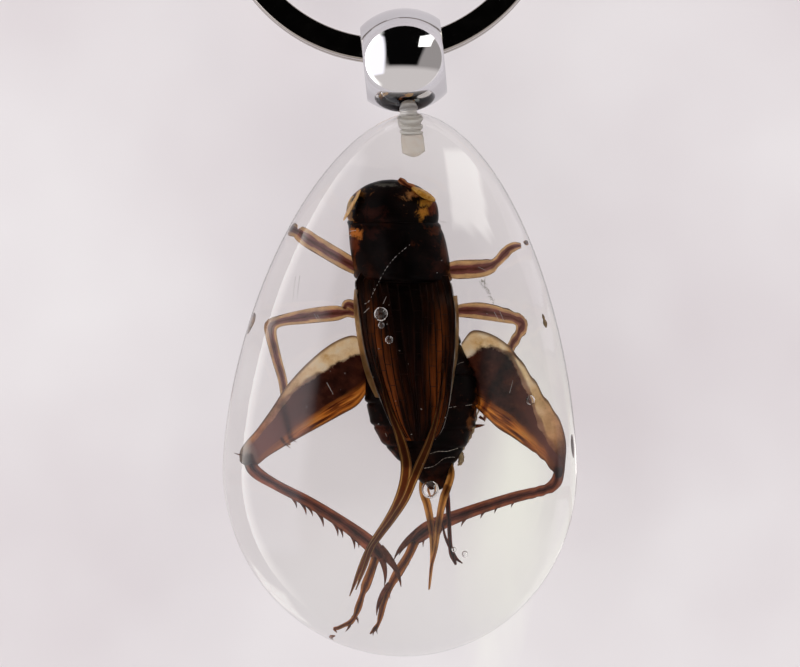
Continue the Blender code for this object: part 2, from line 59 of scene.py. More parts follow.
# Cricket's trunk as (y, centre x, half width, half height)
HEAD = [
    (27.0, -1.5, 0.3, 0.25), (26.85, -1.5, 1.2, 0.85), (26.3, -1.5, 2.5, 1.75),
    (25.2, -1.5, 3.6, 2.6), (23.8, -1.5, 4.05, 2.95), (22.9, -1.4, 3.85, 2.9),
    (22.2, -1.2, 3.3, 2.5),
]
PRONOTUM = [
    (23.25, -1.42, 3.4, 2.7), (23.2, -1.4, 3.85, 3.02), (22.9, -1.35, 4.0, 3.12),
    (22.0, -1.1, 4.2, 3.25), (20.5, -0.82, 4.32, 3.4), (19.0, -0.55, 4.32, 3.5),
    (18.2, -0.42, 4.26, 3.5), (17.75, -0.38, 4.18, 3.42), (17.6, -0.36, 3.95, 3.15),
]
ABDOMEN = [
    (18.6, -0.4, 3.9, 2.9), (16.0, -0.1, 4.25, 3.0), (14.0, 0.2, 4.3, 3.0),
    (11.9, 0.6, 4.4, 3.0), (9.6, 1.3, 4.95, 3.0), (8.0, 1.6, 5.15, 3.0),
    (6.4, 1.65, 5.05, 2.95), (4.5, 1.8, 4.7, 2.7), (2.6, 2.0, 3.8, 2.3),
    (0.8, 2.4, 2.4, 1.7), (-0.6, 2.95, 1.4, 1.15), (-1.35, 3.1, 0.75, 0.7),
    (-1.55, 3.1, 0.3, 0.3),
]
SEGMENT_LINES = [14.4, 11.9, 9.1, 6.2, 4.1, 2.3, 0.9, -0.3]
# Wing cases as (y, left edge x, right edge x, height of the midline)
WING_CASES = [
    (18.3, -4.3, 3.7, 7.0), (17.5, -4.7, 4.0, 7.5), (16.6, -4.65, 4.25, 8.05),
    (15.0, -4.4, 4.5, 8.35),
    (12.0, -3.9, 4.6, 8.35), (9.3, -3.15, 4.45, 8.35), (6.6, -2.1, 4.25, 8.3),
    (4.6, -1.2, 3.85, 8.2), (3.4, -0.35, 3.3, 8.1), (2.9, 0.3, 2.6, 8.05),
]
WING_DROOP = 0.6
# Pale side fields that hang from the wing cases as (y, inner x, outer x)
WING_FLAP = {
    "left": [(16.8, -4.6, -4.8), (15.5, -4.4, -4.85), (13.0, -4.0, -4.55), (10.5, -3.45, -4.05),
             (8.4, -2.85, -3.4), (6.8, -2.3, -2.6)],
    "right": [(16.5, 4.3, 4.6), (14.0, 4.5, 4.85), (11.0, 4.5, 4.82), (8.0, 4.35, 4.6),
              (5.4, 4.0, 4.15)],
}
# Tails of the folded hind wings as (x, y, half width)
HIND_WING = {
    "left": [
        (-2.7, 10.6, 0.06), (-2.0, 8.0, 0.16), (-1.2, 5.5, 0.26), (-0.25, 3.2, 0.42),
        (0.4, 0.9, 0.52), (0.3, -0.9, 0.48), (-0.35, -2.9, 0.42), (-1.3, -4.6, 0.34),
        (-2.35, -6.2, 0.3), (-3.05, -7.5, 0.28), (-3.75, -9.3, 0.25), (-4.6, -11.6, 0.05),
    ],
    "right": [
        (3.55, 10.2, 0.06), (3.45, 7.5, 0.14), (3.1, 5.0, 0.24), (2.45, 2.6, 0.38),
        (1.75, 0.9, 0.44), (1.15, -0.6, 0.42), (0.45, -2.4, 0.38), (-0.65, -4.2, 0.32),
        (-1.8, -5.8, 0.28), (-2.65, -7.1, 0.26), (-3.3, -9.0, 0.2), (-4.05, -11.05, 0.05),
    ],
}
HIND_WING_Z = {"left": (8.55, 7.9), "right": (8.8, 8.75)}

# Hind thighs as (upper x, upper y, lower x, lower y, half thickness, cream band's lower limit)
THIGH = {
    "left": [
        (-3.6, 11.9, -3.2, 7.4, 0.7, 0.72), (-4.75, 12.4, -4.1, 6.0, 1.0, 0.71),
        (-6.6, 11.6, -5.7, 4.95, 1.3, 0.71), (-8.6, 9.9, -7.6, 3.8, 1.25, 0.75),
        (-10.6, 7.6, -9.6, 2.6, 1.1, 0.8), (-12.1, 5.2, -11.2, 1.6, 0.9, 0.8),
        (-13.4, 3.3, -12.4, 0.8, 0.7, 0.8), (-14.4, 2.1, -13.1, 0.2, 0.62, 0.8),
        (-14.9, 1.2, -13.9, -0.2, 0.5, 0.8), (-14.9, 0.4, -14.6, 0.1, 0.2, 0.8),
    ],
    "right": [
        (5.0, 12.0, 6.6, 6.0, 0.7, 0.76), (6.0, 13.2, 7.8, 4.9, 1.0, 0.78),
        (7.7, 12.9, 8.7, 4.1, 1.3, 0.86), (9.4, 11.8, 9.9, 3.4, 1.25, 0.88),
        (11.2, 9.6, 11.1, 2.6, 1.1, 0.76), (12.9, 7.1, 12.3, 1.8, 0.9, 0.5),
        (14.3, 5.1, 13.1, 1.1, 0.75, 0.42), (15.0, 3.1, 13.8, 0.3, 0.65, 0.5),
        (15.0, 0.9, 14.1, -0.3, 0.55, 0.8), (14.8, -0.3, 14.35, -0.6, 0.25, 0.9),
    ],
}
THIGH_Z = 4.9
# Hind shins and feet, and below them the other legs and the tail, as (x, y, z, half width)
SHIN = {
    "left": [
        (-14.2, 1.0, 4.9, 0.45), (-13.6, -0.3, 4.9, 0.55), (-11.7, -1.45, 4.8, 0.45),
        (-8.4, -2.95, 4.6, 0.48), (-5.1, -4.8, 4.4, 0.54), (-2.8, -6.4, 4.3, 0.66),
        (-1.9, -7.3, 4.3, 0.6), (-1.45, -7.9, 4.3, 0.32),
    ],
    "right": [
        (14.5, 0.6, 4.9, 0.48), (14.1, -0.8, 4.8, 0.5), (13.1, -1.35, 4.6, 0.45),
        (10.3, -2.05, 4.2, 0.48), (6.1, -3.45, 3.7, 0.54), (2.9, -4.8, 3.5, 0.66),
        (1.7, -5.65, 3.5, 0.62), (1.0, -6.3, 3.5, 0.34),
    ],
}
FOOT = {
    "left": [
        (-2.5, -6.3, 4.3, 0.34), (-2.1, -7.28, 4.3, 0.4), (-2.37, -8.5, 4.3, 0.36),
        (-2.97, -10.3, 4.3, 0.4), (-3.2, -10.95, 4.32, 0.25), (-3.6, -12.3, 4.4, 0.3),
        (-3.85, -13.0, 4.45, 0.2), (-4.25, -13.6, 4.5, 0.24), (-4.85, -13.9, 4.5, 0.18),
        (-5.45, -14.2, 4.5, 0.17), (-5.75, -14.25, 4.5, 0.14), (-5.5, -14.6, 4.5, 0.04),
    ],
    "right": [
        (2.3, -5.0, 3.5, 0.35), (1.62, -5.69, 3.5, 0.44), (0.93, -7.29, 3.6, 0.38),
        (-0.04, -8.99, 3.6, 0.42), (-0.66, -10.12, 3.6, 0.3), (-1.17, -11.5, 3.7, 0.26),
        (-1.5, -12.9, 3.8, 0.24), (-1.65, -13.5, 3.8, 0.16), (-1.95, -14.0, 3.85, 0.2),
        (-2.4, -14.5, 3.9, 0.06),
    ],
}
# Spines, spurs and claws as (base x, base y, tip x, tip y, base radius)
SPIKES = {
    "left": [
        (-10.15, -2.3, -9.47, -3.53, 0.19), (-9.3, -2.7, -8.6, -4.1, 0.2),
        (-8.75, -3.0, -8.0, -4.2, 0.19), (-7.75, -3.5, -7.0, -5.1, 0.22),
        (-6.3, -4.3, -5.65, -5.9, 0.22), (-5.8, -4.7, -5.2, -6.02, 0.19),
        (-4.7, -5.3, -4.1, -7.0, 0.22), (-4.2, -5.6, -3.7, -6.89, 0.19),
        (-1.8, -6.8, 0.3, -10.26, 0.38), (-2.0, -7.0, -1.24, -10.21, 0.34),
        (-1.7, -7.3, 0.19, -9.75, 0.26), (-2.54, -7.2, -2.17, -8.86, 0.24),
        (-2.5, -8.9, -3.14, -9.56, 0.09), (-2.75, -9.9, -3.39, -10.53, 0.1),
        (-3.0, -10.7, -3.64, -11.38, 0.1), (-3.25, -11.5, -3.86, -12.02, 0.1),
        (-3.6, -12.4, -4.2, -13.1, 0.13), (-3.75, -13.1, -3.55, -13.7, 0.11),
        (-4.3, -13.7, -4.7, -14.45, 0.15),
    ],
    "right": [
        (10.7, -1.9, 10.0, -2.94, 0.17), (9.2, -2.3, 8.55, -3.47, 0.19),
        (8.2, -2.7, 7.3, -3.95, 0.21), (6.6, -3.3, 5.6, -4.7, 0.22),
        (4.5, -4.1, 3.7, -5.5, 0.19), (2.75, -4.9, 2.2, -6.6, 0.2),
        (2.2, -4.9, -0.43, -7.82, 0.36), (1.7, -5.5, 0.02, -7.39, 0.28),
        (1.3, -6.8, 0.97, -8.32, 0.12), (0.8, -7.7, 0.6, -8.78, 0.11),
        (-0.5, -10.1, -0.66, -11.34, 0.11), (-0.7, -10.0, -1.84, -12.8, 0.3),
        (-1.0, -11.0, -1.59, -12.9, 0.18), (-1.9, -13.9, -2.1, -14.6, 0.12),
        (-1.75, -13.8, -1.7, -14.45, 0.1),
    ],
}
# Bristles below the left thigh and on its knee, and claws by the root of the right thigh
SMALL_HOOKS = {
    "left": [(-11.1, 2.7, -10.2, 1.75, 0.16), (-10.4, 2.9, -9.65, 2.3, 0.12),
             (-14.6, 0.9, -15.5, 1.1, 0.07)],
    "right": [(6.5, 4.3, 7.42, 4.46, 0.18), (6.9, 5.2, 7.45, 4.75, 0.14)],
}
SPIKE_Z = {"left": 4.35, "right": 3.6}

# Joint of the left middle leg, swollen where it leaves the trunk
COXA = [(-4.1, 14.6, 4.6, 0.3), (-4.8, 15.15, 4.5, 0.5), (-5.25, 15.25, 4.4, 0.42),
        (-5.55, 14.85, 4.3, 0.25)]
FORELEG = {
    "left": [(-4.2, 18.5, 4.6, 0.6), (-5.5, 19.2, 4.7, 0.72), (-7.1, 20.1, 4.8, 0.74),
             (-8.7, 21.0, 4.9, 0.74), (-9.6, 21.6, 4.9, 0.72), (-10.0, 21.9, 4.9, 0.6)],
    "right": [(3.6, 18.7, 4.6, 0.7), (4.45, 18.8, 4.7, 0.85), (6.6, 19.0, 4.8, 0.8),
              (7.4, 19.25, 4.85, 0.66), (7.9, 19.6, 4.9, 0.42), (8.3, 20.0, 4.9, 0.45),
              (9.0, 20.8, 4.9, 0.45), (9.6, 21.15, 4.9, 0.4), (10.15, 21.25, 4.9, 0.25)],
}
MIDLEG = {
    "left": [(-3.9, 14.4, 4.4, 0.4), (-4.65, 14.5, 4.3, 0.5), (-5.2, 14.5, 4.25, 0.42),
             (-6.1, 14.4, 4.2, 0.66), (-7.5, 14.2, 4.0, 0.7), (-9.1, 13.9, 3.8, 0.64),
             (-11.1, 13.4, 3.3, 0.5), (-11.8, 12.95, 3.0, 0.54), (-11.85, 12.2, 2.9, 0.46),
             (-11.2, 9.8, 2.3, 0.4), (-10.6, 7.6, 2.1, 0.36), (-10.2, 3.5, 2.3, 0.26),
             (-10.1, 2.0, 3.0, 0.12)],
    "right": [(4.4, 14.9, 4.4, 0.5), (5.0, 15.0, 4.3, 0.62), (6.6, 15.0, 4.2, 0.76),
              (8.7, 14.6, 3.8, 0.66), (9.7, 14.25, 3.3, 0.52), (10.15, 13.85, 3.0, 0.54),
              (10.05, 13.2, 2.9, 0.44), (9.2, 11.6, 2.3, 0.38), (8.3, 8.8, 2.1, 0.33),
              (7.5, 6.3, 2.1, 0.28), (7.15, 4.8, 2.6, 0.12)],
}
CERCUS = {
    "left": [(2.1, -0.2, 5.0, 0.2), (2.0, -0.9, 5.0, 0.3), (2.1, -1.8, 5.05, 0.34), (2.5, -2.9, 5.1, 0.34),
             (3.0, -5.3, 5.3, 0.28), (3.1, -7.2, 5.3, 0.2), (2.95, -10.5, 5.3, 0.05)],
    "right": [(4.5, 1.0, 5.4, 0.16), (4.6, -0.1, 5.8, 0.3), (4.3, -1.3, 6.12, 0.34), (4.0, -2.2, 6.15, 0.34),
              (3.65, -4.2, 6.2, 0.28), (3.4, -6.8, 6.2, 0.2), (3.05, -8.6, 6.2, 0.13),
              (2.9, -10.6, 6.2, 0.05)],
}
OVIPOSITOR = [
    [(4.1, -1.0, 5.0, 0.2), (4.3, -2.2, 5.0, 0.22), (4.55, -4.6, 5.1, 0.18),
     (4.75, -6.62, 5.1, 0.2), (4.95, -7.3, 5.1, 0.26), (5.3, -8.2, 5.1, 0.1)],
    [(3.8, -3.9, 5.0, 0.07), (4.2, -5.6, 5.05, 0.11), (4.75, -6.7, 5.1, 0.16),
     (5.3, -7.6, 5.1, 0.14), (5.9, -8.05, 5.1, 0.05)],
]
FEELER = [(0.4, 26.15, 6.0, 0.3), (0.1, 26.42, 6.0, 0.36), (-0.3, 26.65, 5.95, 0.26),
          (-0.62, 26.93, 5.9, 0.3), (-0.92, 27.15, 5.8, 0.2)]
# Bubbles as (x, y, z, radius)
BUBBLES = [
    (-2.37, 14.66, 9.7, 0.62), (-2.3, 13.6, 9.5, 0.28), (-1.51, 12.27, 9.5, 0.35),
    (2.79, -1.49, 8.6, 0.75), (6.21, -7.32, 7.0, 0.28), (11.9, 6.94, 7.0, 0.42),
    (5.15, -6.9, 6.8, 0.22),
]
# Silvery lines of air along the insect's back, broken in dashes, as (x, y, z)
AIR_LINE = [
    (0.16, 21.22, 8.95), (-1.19, 19.97, 8.95), (-2.08, 18.74, 8.8), (-2.95, 16.96, 8.6),
    (-3.56, 15.73, 8.6), (-4.11, 15.44, 8.4),
]
# White hairs at the collar between head and shield as (x, y, x step, y step)
COLLAR_HAIRS = [(2.71, 23.36, 0.66, -0.07), (-5.39, 22.19, 1.0, 0.17), (-5.8, 21.75, 0.57, 0.07)]
# Scratches near the surface as (x, y, z, x step, y step)
SCRATCHES = [
    (-7.35, 8.1, 9.2, 0.65, -1.1), (-8.6, 14.4, 7.4, 0.45, -0.7), (-8.3, 14.3, 7.4, 0.35, -0.6),
    (8.7, 15.2, 7.4, 0.5, -1.0), (8.2, 15.1, 7.4, 0.45, -0.8), (6.6, 19.3, 8.0, 0.8, -0.3),
    (-3.5, 15.2, 9.4, -0.5, -0.5), (-2.2, 15.6, 9.4, 0.3, 0.7), (10.0, 7.6, 8.2, 0.3, 1.2),
    (-10.4, 17.8, 6.4, -0.2, -2.4), (-10.0, 17.9, 6.4, -0.15, -2.2),
]


# What a user would change

def linear(hex_colour):
    """Turns an sRGB hex colour into linear red, green and blue with full alpha."""
    parts = [int(hex_colour[i:i + 2], 16) / 255 for i in (1, 3, 5)]
    return (*[c / 12.92 if c <= 0.04045 else ((c + 0.055) / 1.055) ** 2.4 for c in parts], 1.0)


class ResinSizes(bpy.types.PropertyGroup):
    half_width: bpy.props.FloatProperty(
        name="Half width", description="Half of the drop's greatest width",
        default=0.01635, subtype="DISTANCE", unit="LENGTH")
    to_apex: bpy.props.FloatProperty(
        name="To apex", description="From the widest place to the pointed end",
        default=0.0332, subtype="DISTANCE", unit="LENGTH")
    to_end: bpy.props.FloatProperty(
        name="To round end", description="From the widest place to the round end",
        default=0.0171, subtype="DISTANCE", unit="LENGTH")
    thickness: bpy.props.FloatProperty(
        name="Thickness", description="From the flat back to the crown of the dome",
        default=0.0135, subtype="DISTANCE", unit="LENGTH")
    tint: bpy.props.FloatVectorProperty(
        name="Tint", description="Colour that thick resin takes on", size=4,
        default=linear("#F7F1DD"), min=0, max=1, subtype="COLOR")
    tint_density: bpy.props.FloatProperty(
        name="Tint density", description="Absorption per metre", default=10.0, min=0)


class MetalSizes(bpy.types.PropertyGroup):
    bead_radius: bpy.props.FloatProperty(
        name="Bead radius", description="Radius at the bead's middle",
        default=0.00478, subtype="DISTANCE", unit="LENGTH")
    bead_half_length: bpy.props.FloatProperty(
        name="Bead half length", description="Half of the bead's length along its bore",
        default=0.0037, subtype="DISTANCE", unit="LENGTH")
    bead_face_radius: bpy.props.FloatProperty(
        name="Bead face radius", description="Outer radius at the bead's two faces",
        default=0.0034, subtype="DISTANCE", unit="LENGTH")
    bore_radius: bpy.props.FloatProperty(
        name="Bore radius", description="Radius of the bore for the ring",
        default=0.003, subtype="DISTANCE", unit="LENGTH")
    pin_radius: bpy.props.FloatProperty(
        name="Pin radius", description="Radius over the thread's crests",
        default=0.00115, subtype="DISTANCE", unit="LENGTH")
    pin_pitch: bpy.props.FloatProperty(
        name="Pin pitch", description="Distance from one thread crest to the next",
        default=0.00046, subtype="DISTANCE", unit="LENGTH")
    ring_radius: bpy.props.FloatProperty(
        name="Ring radius", description="Radius at the middle of the flat wire",
        default=0.0147, subtype="DISTANCE", unit="LENGTH")
    ring_band: bpy.props.FloatProperty(
        name="Ring band", description="Radial width of the flat wire",
        default=0.0022, subtype="DISTANCE", unit="LENGTH")
    ring_turn: bpy.props.FloatProperty(
        name="Ring turn", description="Thickness of one turn of the wire",
        default=0.0008, subtype="DISTANCE", unit="LENGTH")


class CricketColours(bpy.types.PropertyGroup):
    dark: bpy.props.FloatVectorProperty(
        name="Dark shell", description="Near black of the head and trunk", size=4,
        default=linear("#120706"), min=0, max=1, subtype="COLOR")
    amber: bpy.props.FloatVectorProperty(
        name="Amber", description="Thin parts of the wings and thighs", size=4,
        default=linear("#86441A"), min=0, max=1, subtype="COLOR")
    cream: bpy.props.FloatVectorProperty(
        name="Cream", description="Pale band along the hind thighs", size=4,
        default=linear("#FFE0AC"), min=0, max=1, subtype="COLOR")


class StageSizes(bpy.types.PropertyGroup):
    camera_height: bpy.props.FloatProperty(
        name="Camera height", description="From the surface to the lens",
        default=0.4, subtype="DISTANCE", unit="LENGTH")
    focal_length: bpy.props.FloatProperty(
        name="Focal length", description="Lens on a 36 mm sensor", default=192.5,
        subtype="DISTANCE_CAMERA")
    floor_radius: bpy.props.FloatProperty(
        name="Floor radius", description="From the middle to the raised rim",
        default=1.5, subtype="DISTANCE", unit="LENGTH")
    floor_glow: bpy.props.FloatProperty(
        name="Floor glow", description="Light that the pale surface lends from below",
        default=0.79, min=0)
    sky: bpy.props.FloatProperty(
        name="Sky strength", description="Brightness of the room", default=0.75, min=0)


# Colours, nodes and meshes

def add_node(tree, kind, inputs=None, stops=(), **settings):
    """Adds a node with its settings and a ramp's stops. Each input is a value, a socket, or
    another node, which stands for its first output in use."""
    made = tree.nodes.new(kind)
    for name, value in settings.items():
        setattr(made, name, value)
    for count, (place, colour) in enumerate(stops):
        elements = made.color_ramp.elements
        if not count:
            elements.remove(elements[1])
        stop = elements.new(place) if count else elements[0]
        stop.position = place
        if isinstance(colour, str):
            colour = linear(colour)
        stop.color = colour if isinstance(colour, tuple) else (colour,) * 3 + (1.0,)
    for key, value in (inputs or {}).items():
        if isinstance(value, bpy.types.Node):
            value = next(socket for socket in value.outputs if socket.enabled)
        if isinstance(value, bpy.types.NodeSocket):
            tree.links.new(value, made.inputs[key])
        else:
            made.inputs[key].default_value = value
    return made


def new_material(name):
    made = bpy.data.materials.new(name)
    made.use_nodes = True
    made.node_tree.nodes.clear()
    return made, made.node_tree


def seen(x, y, z):
    """Real place, in metres, of what is seen at x and y millimetres through the dome."""
    return Vector((x * LENS_ACROSS, LENS_CENTRE_Y + (y - LENS_CENTRE_Y) * LENS_ALONG, z)) * MM


def smoothed(stations, steps):
    """Points along a smooth curve through the stations, which are tuples of numbers."""
    points = [Vector(s) for s in stations]
    reach = [0.0]
    for a, b in zip(points, points[1:]):
        reach.append(reach[-1] + max((b - a).length, 1e-6))
    slopes = []
    for i in range(len(points)):
        a, b = max(i - 1, 0), min(i + 1, len(points) - 1)
        slopes.append((points[b] - points[a]) / (reach[b] - reach[a]))
    made = []
    for k in range(steps + 1):
        at = reach[-1] * k / steps
        i = max(j for j in range(len(points) - 1) if reach[j] <= at + 1e-9)
        span = reach[i + 1] - reach[i]
        t = (at - reach[i]) / span
        made.append(points[i] * (2 * t ** 3 - 3 * t ** 2 + 1)
                    + slopes[i] * span * (t ** 3 - 2 * t ** 2 + t)
                    + points[i + 1] * (3 * t ** 2 - 2 * t ** 3)
                    + slopes[i + 1] * span * (t ** 3 - t ** 2))
    return made


class Shape:
    """Vertices, faces and per-vertex numbers that become one mesh."""

    def __init__(self):
        self.points, self.faces, self.numbers = [], [], {}

    def add(self, point, **numbers):
        self.points.append(point)
        for name, value in numbers.items():
            self.numbers.setdefault(name, {})[len(self.points) - 1] = value
        return len(self.points) - 1

    def loft(self, rings, closed=False):
        """Joins rings of vertex numbers; open lofts get a fan of faces at both ends."""
        count = len(rings[0])
        for low, high in zip(rings, rings[1:] + rings[:1] if closed else rings[1:]):
            for i in range(count):
                j = (i + 1) % count
                self.faces.append((low[i], low[j], high[j], high[i]))
        if closed:
            return
        for ring, turned in ((rings[0], True), (rings[-1], False)):
            middle = sum((self.points[i] for i in ring), Vector()) / count
            numbers = {name: sum(values.get(i, 0.0) for i in ring) / count
                       for name, values in self.numbers.items()
                       if not isinstance(values.get(ring[0]), tuple)}
            numbers.update({name: values[ring[0]] for name, values in self.numbers.items()
                            if isinstance(values.get(ring[0]), tuple)})
            centre = self.add(middle, **numbers)
            for i in range(count):
                j = (i + 1) % count
                face = (centre, ring[j], ring[i]) if turned else (centre, ring[i], ring[j])
                self.faces.append(face)

    def object(self, name, material, sharp=radians(50)):
        """Makes the piece, with its normals pointing out and its attributes stored."""
        mesh = bpy.data.meshes.new(name)
        mesh.from_pydata(self.points, [], self.faces)
        for attribute, values in self.numbers.items():
            sample = next(iter(values.values()))
            if isinstance(sample, tuple):
                layer = mesh.attributes.new(attribute, "FLOAT_COLOR", "POINT")
                for i, value in values.items():
                    layer.data[i].color = value
            else:
                layer = mesh.attributes.new(attribute, "FLOAT", "POINT")
                for i, value in values.items():
                    layer.data[i].value = value
        outward(mesh)
        mesh.shade_smooth()
        mesh.set_sharp_from_angle(angle=sharp)
        mesh.materials.append(material)
        made = bpy.data.objects.new(name, mesh)
        bpy.context.scene.collection.objects.link(made)
        return made


def outward(mesh):
    """Turns every face's front to the outside."""
    shape = bmesh.new()
    shape.from_mesh(mesh)
    bmesh.ops.recalc_face_normals(shape, faces=shape.faces[:])
    shape.to_mesh(mesh)
    shape.free()


def placed(piece, body, slot, *nodes):
    """Lets a finished piece ride on its body and stand for its nodes; the slot is not used."""
    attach(piece, body)
    if nodes:
        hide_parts(*nodes)


LIMB_FLATNESS = 0.85        # height of a limb as a share of its width
THINNEST = 0.02             # smallest radius of a limb or a skin, in millimetres


def tube(shape, stations, steps, sides):
    """Lofts a limb through (x, y, z, half width) stations, with across and along stored."""
    path = smoothed(stations, steps)
    points = [seen(*station[:3]) for station in path]
    rings, travelled = [], 0.0
    for k, point in enumerate(points):
        before, after = points[max(k - 1, 0)], points[min(k + 1, len(points) - 1)]
        if k:
            travelled += (point - before).length / MM
        way = (after - before).normalized()
        level = Vector((-way.y, way.x, 0)).normalized()
        up = way.cross(level) * -1
        half = max(path[k][3], THINNEST) * MM
        ring = []
        for i in range(sides):
            angle = 2 * pi * i / sides
            offset = level * half * cos(angle) + up * half * LIMB_FLATNESS * sin(angle)
            ring.append(shape.add(point + offset, across=cos(angle), along=travelled))
        rings.append(ring)
    shape.loft(rings)
    return points


def limb(name, strands, steps, sides, slot, material, *nodes):
    """Makes one piece from limbs that share a finish."""
    shape = Shape()
    for stations in strands:
        tube(shape, stations, steps, sides)
    placed(shape.object(name, material), "drop", slot, *nodes)


def node_tree(name, inputs):
    """Starts a geometry node tree with a mesh in, named inputs and a mesh out."""
    tree = bpy.data.node_groups.new(name, "GeometryNodeTree")
    tree.interface.new_socket("Geometry", in_out="INPUT", socket_type="NodeSocketGeometry")
    for label, (kind, value) in inputs.items():
        socket = tree.interface.new_socket(label, in_out="INPUT", socket_type=kind)
        if value is not None:
            socket.default_value = value
    tree.interface.new_socket("Geometry", in_out="OUTPUT", socket_type="NodeSocketGeometry")
    return tree, add_node(tree, "NodeGroupInput")


def close_tree(tree, start, geometry):
    """Ends a tree by realizing its instances, smoothing them and giving them their material."""
    real = add_node(tree, "GeometryNodeRealizeInstances", {"Geometry": geometry})
    smooth = add_node(tree, "GeometryNodeSetShadeSmooth", {"Geometry": real})
    dressed = add_node(tree, "GeometryNodeSetMaterial", {"Geometry": smooth,
        "Material": start.outputs["Material"]})
    add_node(tree, "NodeGroupOutput", {"Geometry": dressed})


def converted(piece, tree, values):
    """Runs a tree on a piece and keeps the result as a plain mesh."""
    modifier = piece.modifiers.new("nodes", "NODES")
    modifier.node_group = tree
    for item in tree.interface.items_tree:
        if item.in_out == "INPUT" and item.name in values:
            modifier[item.identifier] = values[item.name]
    bpy.context.view_layer.update()
    evaluated = piece.evaluated_get(bpy.context.evaluated_depsgraph_get())
    mesh = bpy.data.meshes.new_from_object(evaluated)
    piece.modifiers.clear()
    piece.data = mesh
    return piece


def tubes_tree():
    """Round threads along the edges of a mesh, as thick as each point's thickness says."""
    tree, start = node_tree("threads_on_paths", {
        "Sides": ("NodeSocketInt", 8), "Material": ("NodeSocketMaterial", None)})
    thick = add_node(tree, "GeometryNodeInputNamedAttribute", {"Name": "thickness"})
    path = add_node(tree, "GeometryNodeMeshToCurve", {"Mesh": start.outputs["Geometry"]})
    sized = add_node(tree, "GeometryNodeSetCurveRadius", {"Curve": path, "Radius": thick})
    round_wire = add_node(tree, "GeometryNodeCurvePrimitiveCircle",
        {"Resolution": start.outputs["Sides"], "Radius": 1.0})
    skin = add_node(tree, "GeometryNodeCurveToMesh", {"Curve": sized, "Profile Curve": round_wire,
        "Fill Caps": True})
    if "Scale" in skin.inputs:
        tree.links.new(thick.outputs[0], skin.inputs["Scale"])
    close_tree(tree, start, skin)
    return tree


def thread_tree():
    """A helical ridge wound round the pin's core."""
    tree, start = node_tree("thread_on_pin", {
        "Radius": ("NodeSocketFloat", 0.001), "Turns": ("NodeSocketFloat", 5.0),
        "Pitch": ("NodeSocketFloat", 0.00056), "Ridge": ("NodeSocketFloat", 0.0002),
        "Material": ("NodeSocketMaterial", None)})
    height = add_node(tree, "ShaderNodeMath", {0: start.outputs["Turns"], 1: start.outputs["Pitch"]},
        operation="MULTIPLY")
    helix = add_node(tree, "GeometryNodeCurveSpiral", {"Resolution": 48,
        "Rotations": start.outputs["Turns"], "Start Radius": start.outputs["Radius"],
        "End Radius": start.outputs["Radius"], "Height": height})
    ridge = add_node(tree, "GeometryNodeCurvePrimitiveCircle", {"Resolution": 8,
        "Radius": start.outputs["Ridge"]})
    wound = add_node(tree, "GeometryNodeCurveToMesh", {"Curve": helix, "Profile Curve": ridge,
        "Fill Caps": True})
    both = add_node(tree, "GeometryNodeJoinGeometry", {"Geometry": wound})
    tree.links.new(start.outputs["Geometry"], both.inputs[0])
    close_tree(tree, start, both)
    return tree


def threads(name, paths, material, tree, sides):
    """Makes threads along paths, which are lists of (place in metres, thickness)."""
    mesh = bpy.data.meshes.new(name)
    points, edges, sizes = [], [], []
    for path in paths:
        first = len(points)
        for place, size in path:
            points.append(place)
            sizes.append(size)
        edges += [(i, i + 1) for i in range(first, len(points) - 1)]
    mesh.from_pydata(points, edges, [])
    layer = mesh.attributes.new("thickness", "FLOAT", "POINT")
    layer.data.foreach_set("value", sizes)
    made = bpy.data.objects.new(name, mesh)
    bpy.context.scene.collection.objects.link(made)
    return converted(made, tree, {"Sides": sides, "Material": material})


def hook(base, tip, radius, curl):
    """Path of a spine that leaves its limb sideways and bends down to its point."""
    middle = (base + tip) / 2 + curl * (tip - base).length
    made = []
    for k in range(9):
        t = k / 8
        made.append((base * (1 - t) ** 2 + middle * 2 * t * (1 - t) + tip * t * t,
                     radius * (1 - 0.92 * t ** 1.4)))
    return made


# Materials

def cast_resin(sizes):
    """Polished polyester casting resin: clear, faintly yellow where it is thick, and a
    little wavy where the mould and the hand polish left it."""
    made, tree = new_material("polished_casting_resin")
    place = add_node(tree, "ShaderNodeTexCoord")
    waves = add_node(tree, "ShaderNodeTexNoise", {"Vector": place.outputs["Object"], "Scale": 140.0,
        "Detail": 1.0})
    bump = add_node(tree, "ShaderNodeBump", {"Strength": 0.1, "Distance": 0.0001, "Height": waves})
    shader = add_node(tree, "ShaderNodeBsdfPrincipled", {"Base Color": (1, 1, 1, 1), "Roughness": 0.0,
        "IOR": 1.52, "Transmission Weight": 1.0, "Normal": bump})
    inside = add_node(tree, "ShaderNodeVolumeAbsorption", {"Color": tuple(sizes.tint),
        "Density": sizes.tint_density})
    add_node(tree, "ShaderNodeOutputMaterial", {"Surface": shader, "Volume": inside})
    return made


def metal(name, colour, smooth, rough, grain, shine=1.0):
    """Metal whose roughness wanders between two values with a fine grain of handling marks."""
    made, tree = new_material(name)
    place = add_node(tree, "ShaderNodeTexCoord")
    marks = add_node(tree, "ShaderNodeTexNoise", {"Vector": place.outputs["Object"], "Scale": grain,
        "Detail": 4.0})
    rubbed = add_node(tree, "ShaderNodeMapRange", {"Value": marks, "From Min": 0.3, "From Max": 0.7,
        "To Min": smooth, "To Max": rough})
    bump = add_node(tree, "ShaderNodeBump", {"Strength": 0.06, "Distance": 0.00002, "Height": marks})
    shader = add_node(tree, "ShaderNodeBsdfPrincipled", {"Base Color": linear(colour),
        "Metallic": shine, "Roughness": rubbed, "Normal": bump})
    add_node(tree, "ShaderNodeOutputMaterial", {"Surface": shader})
    return made


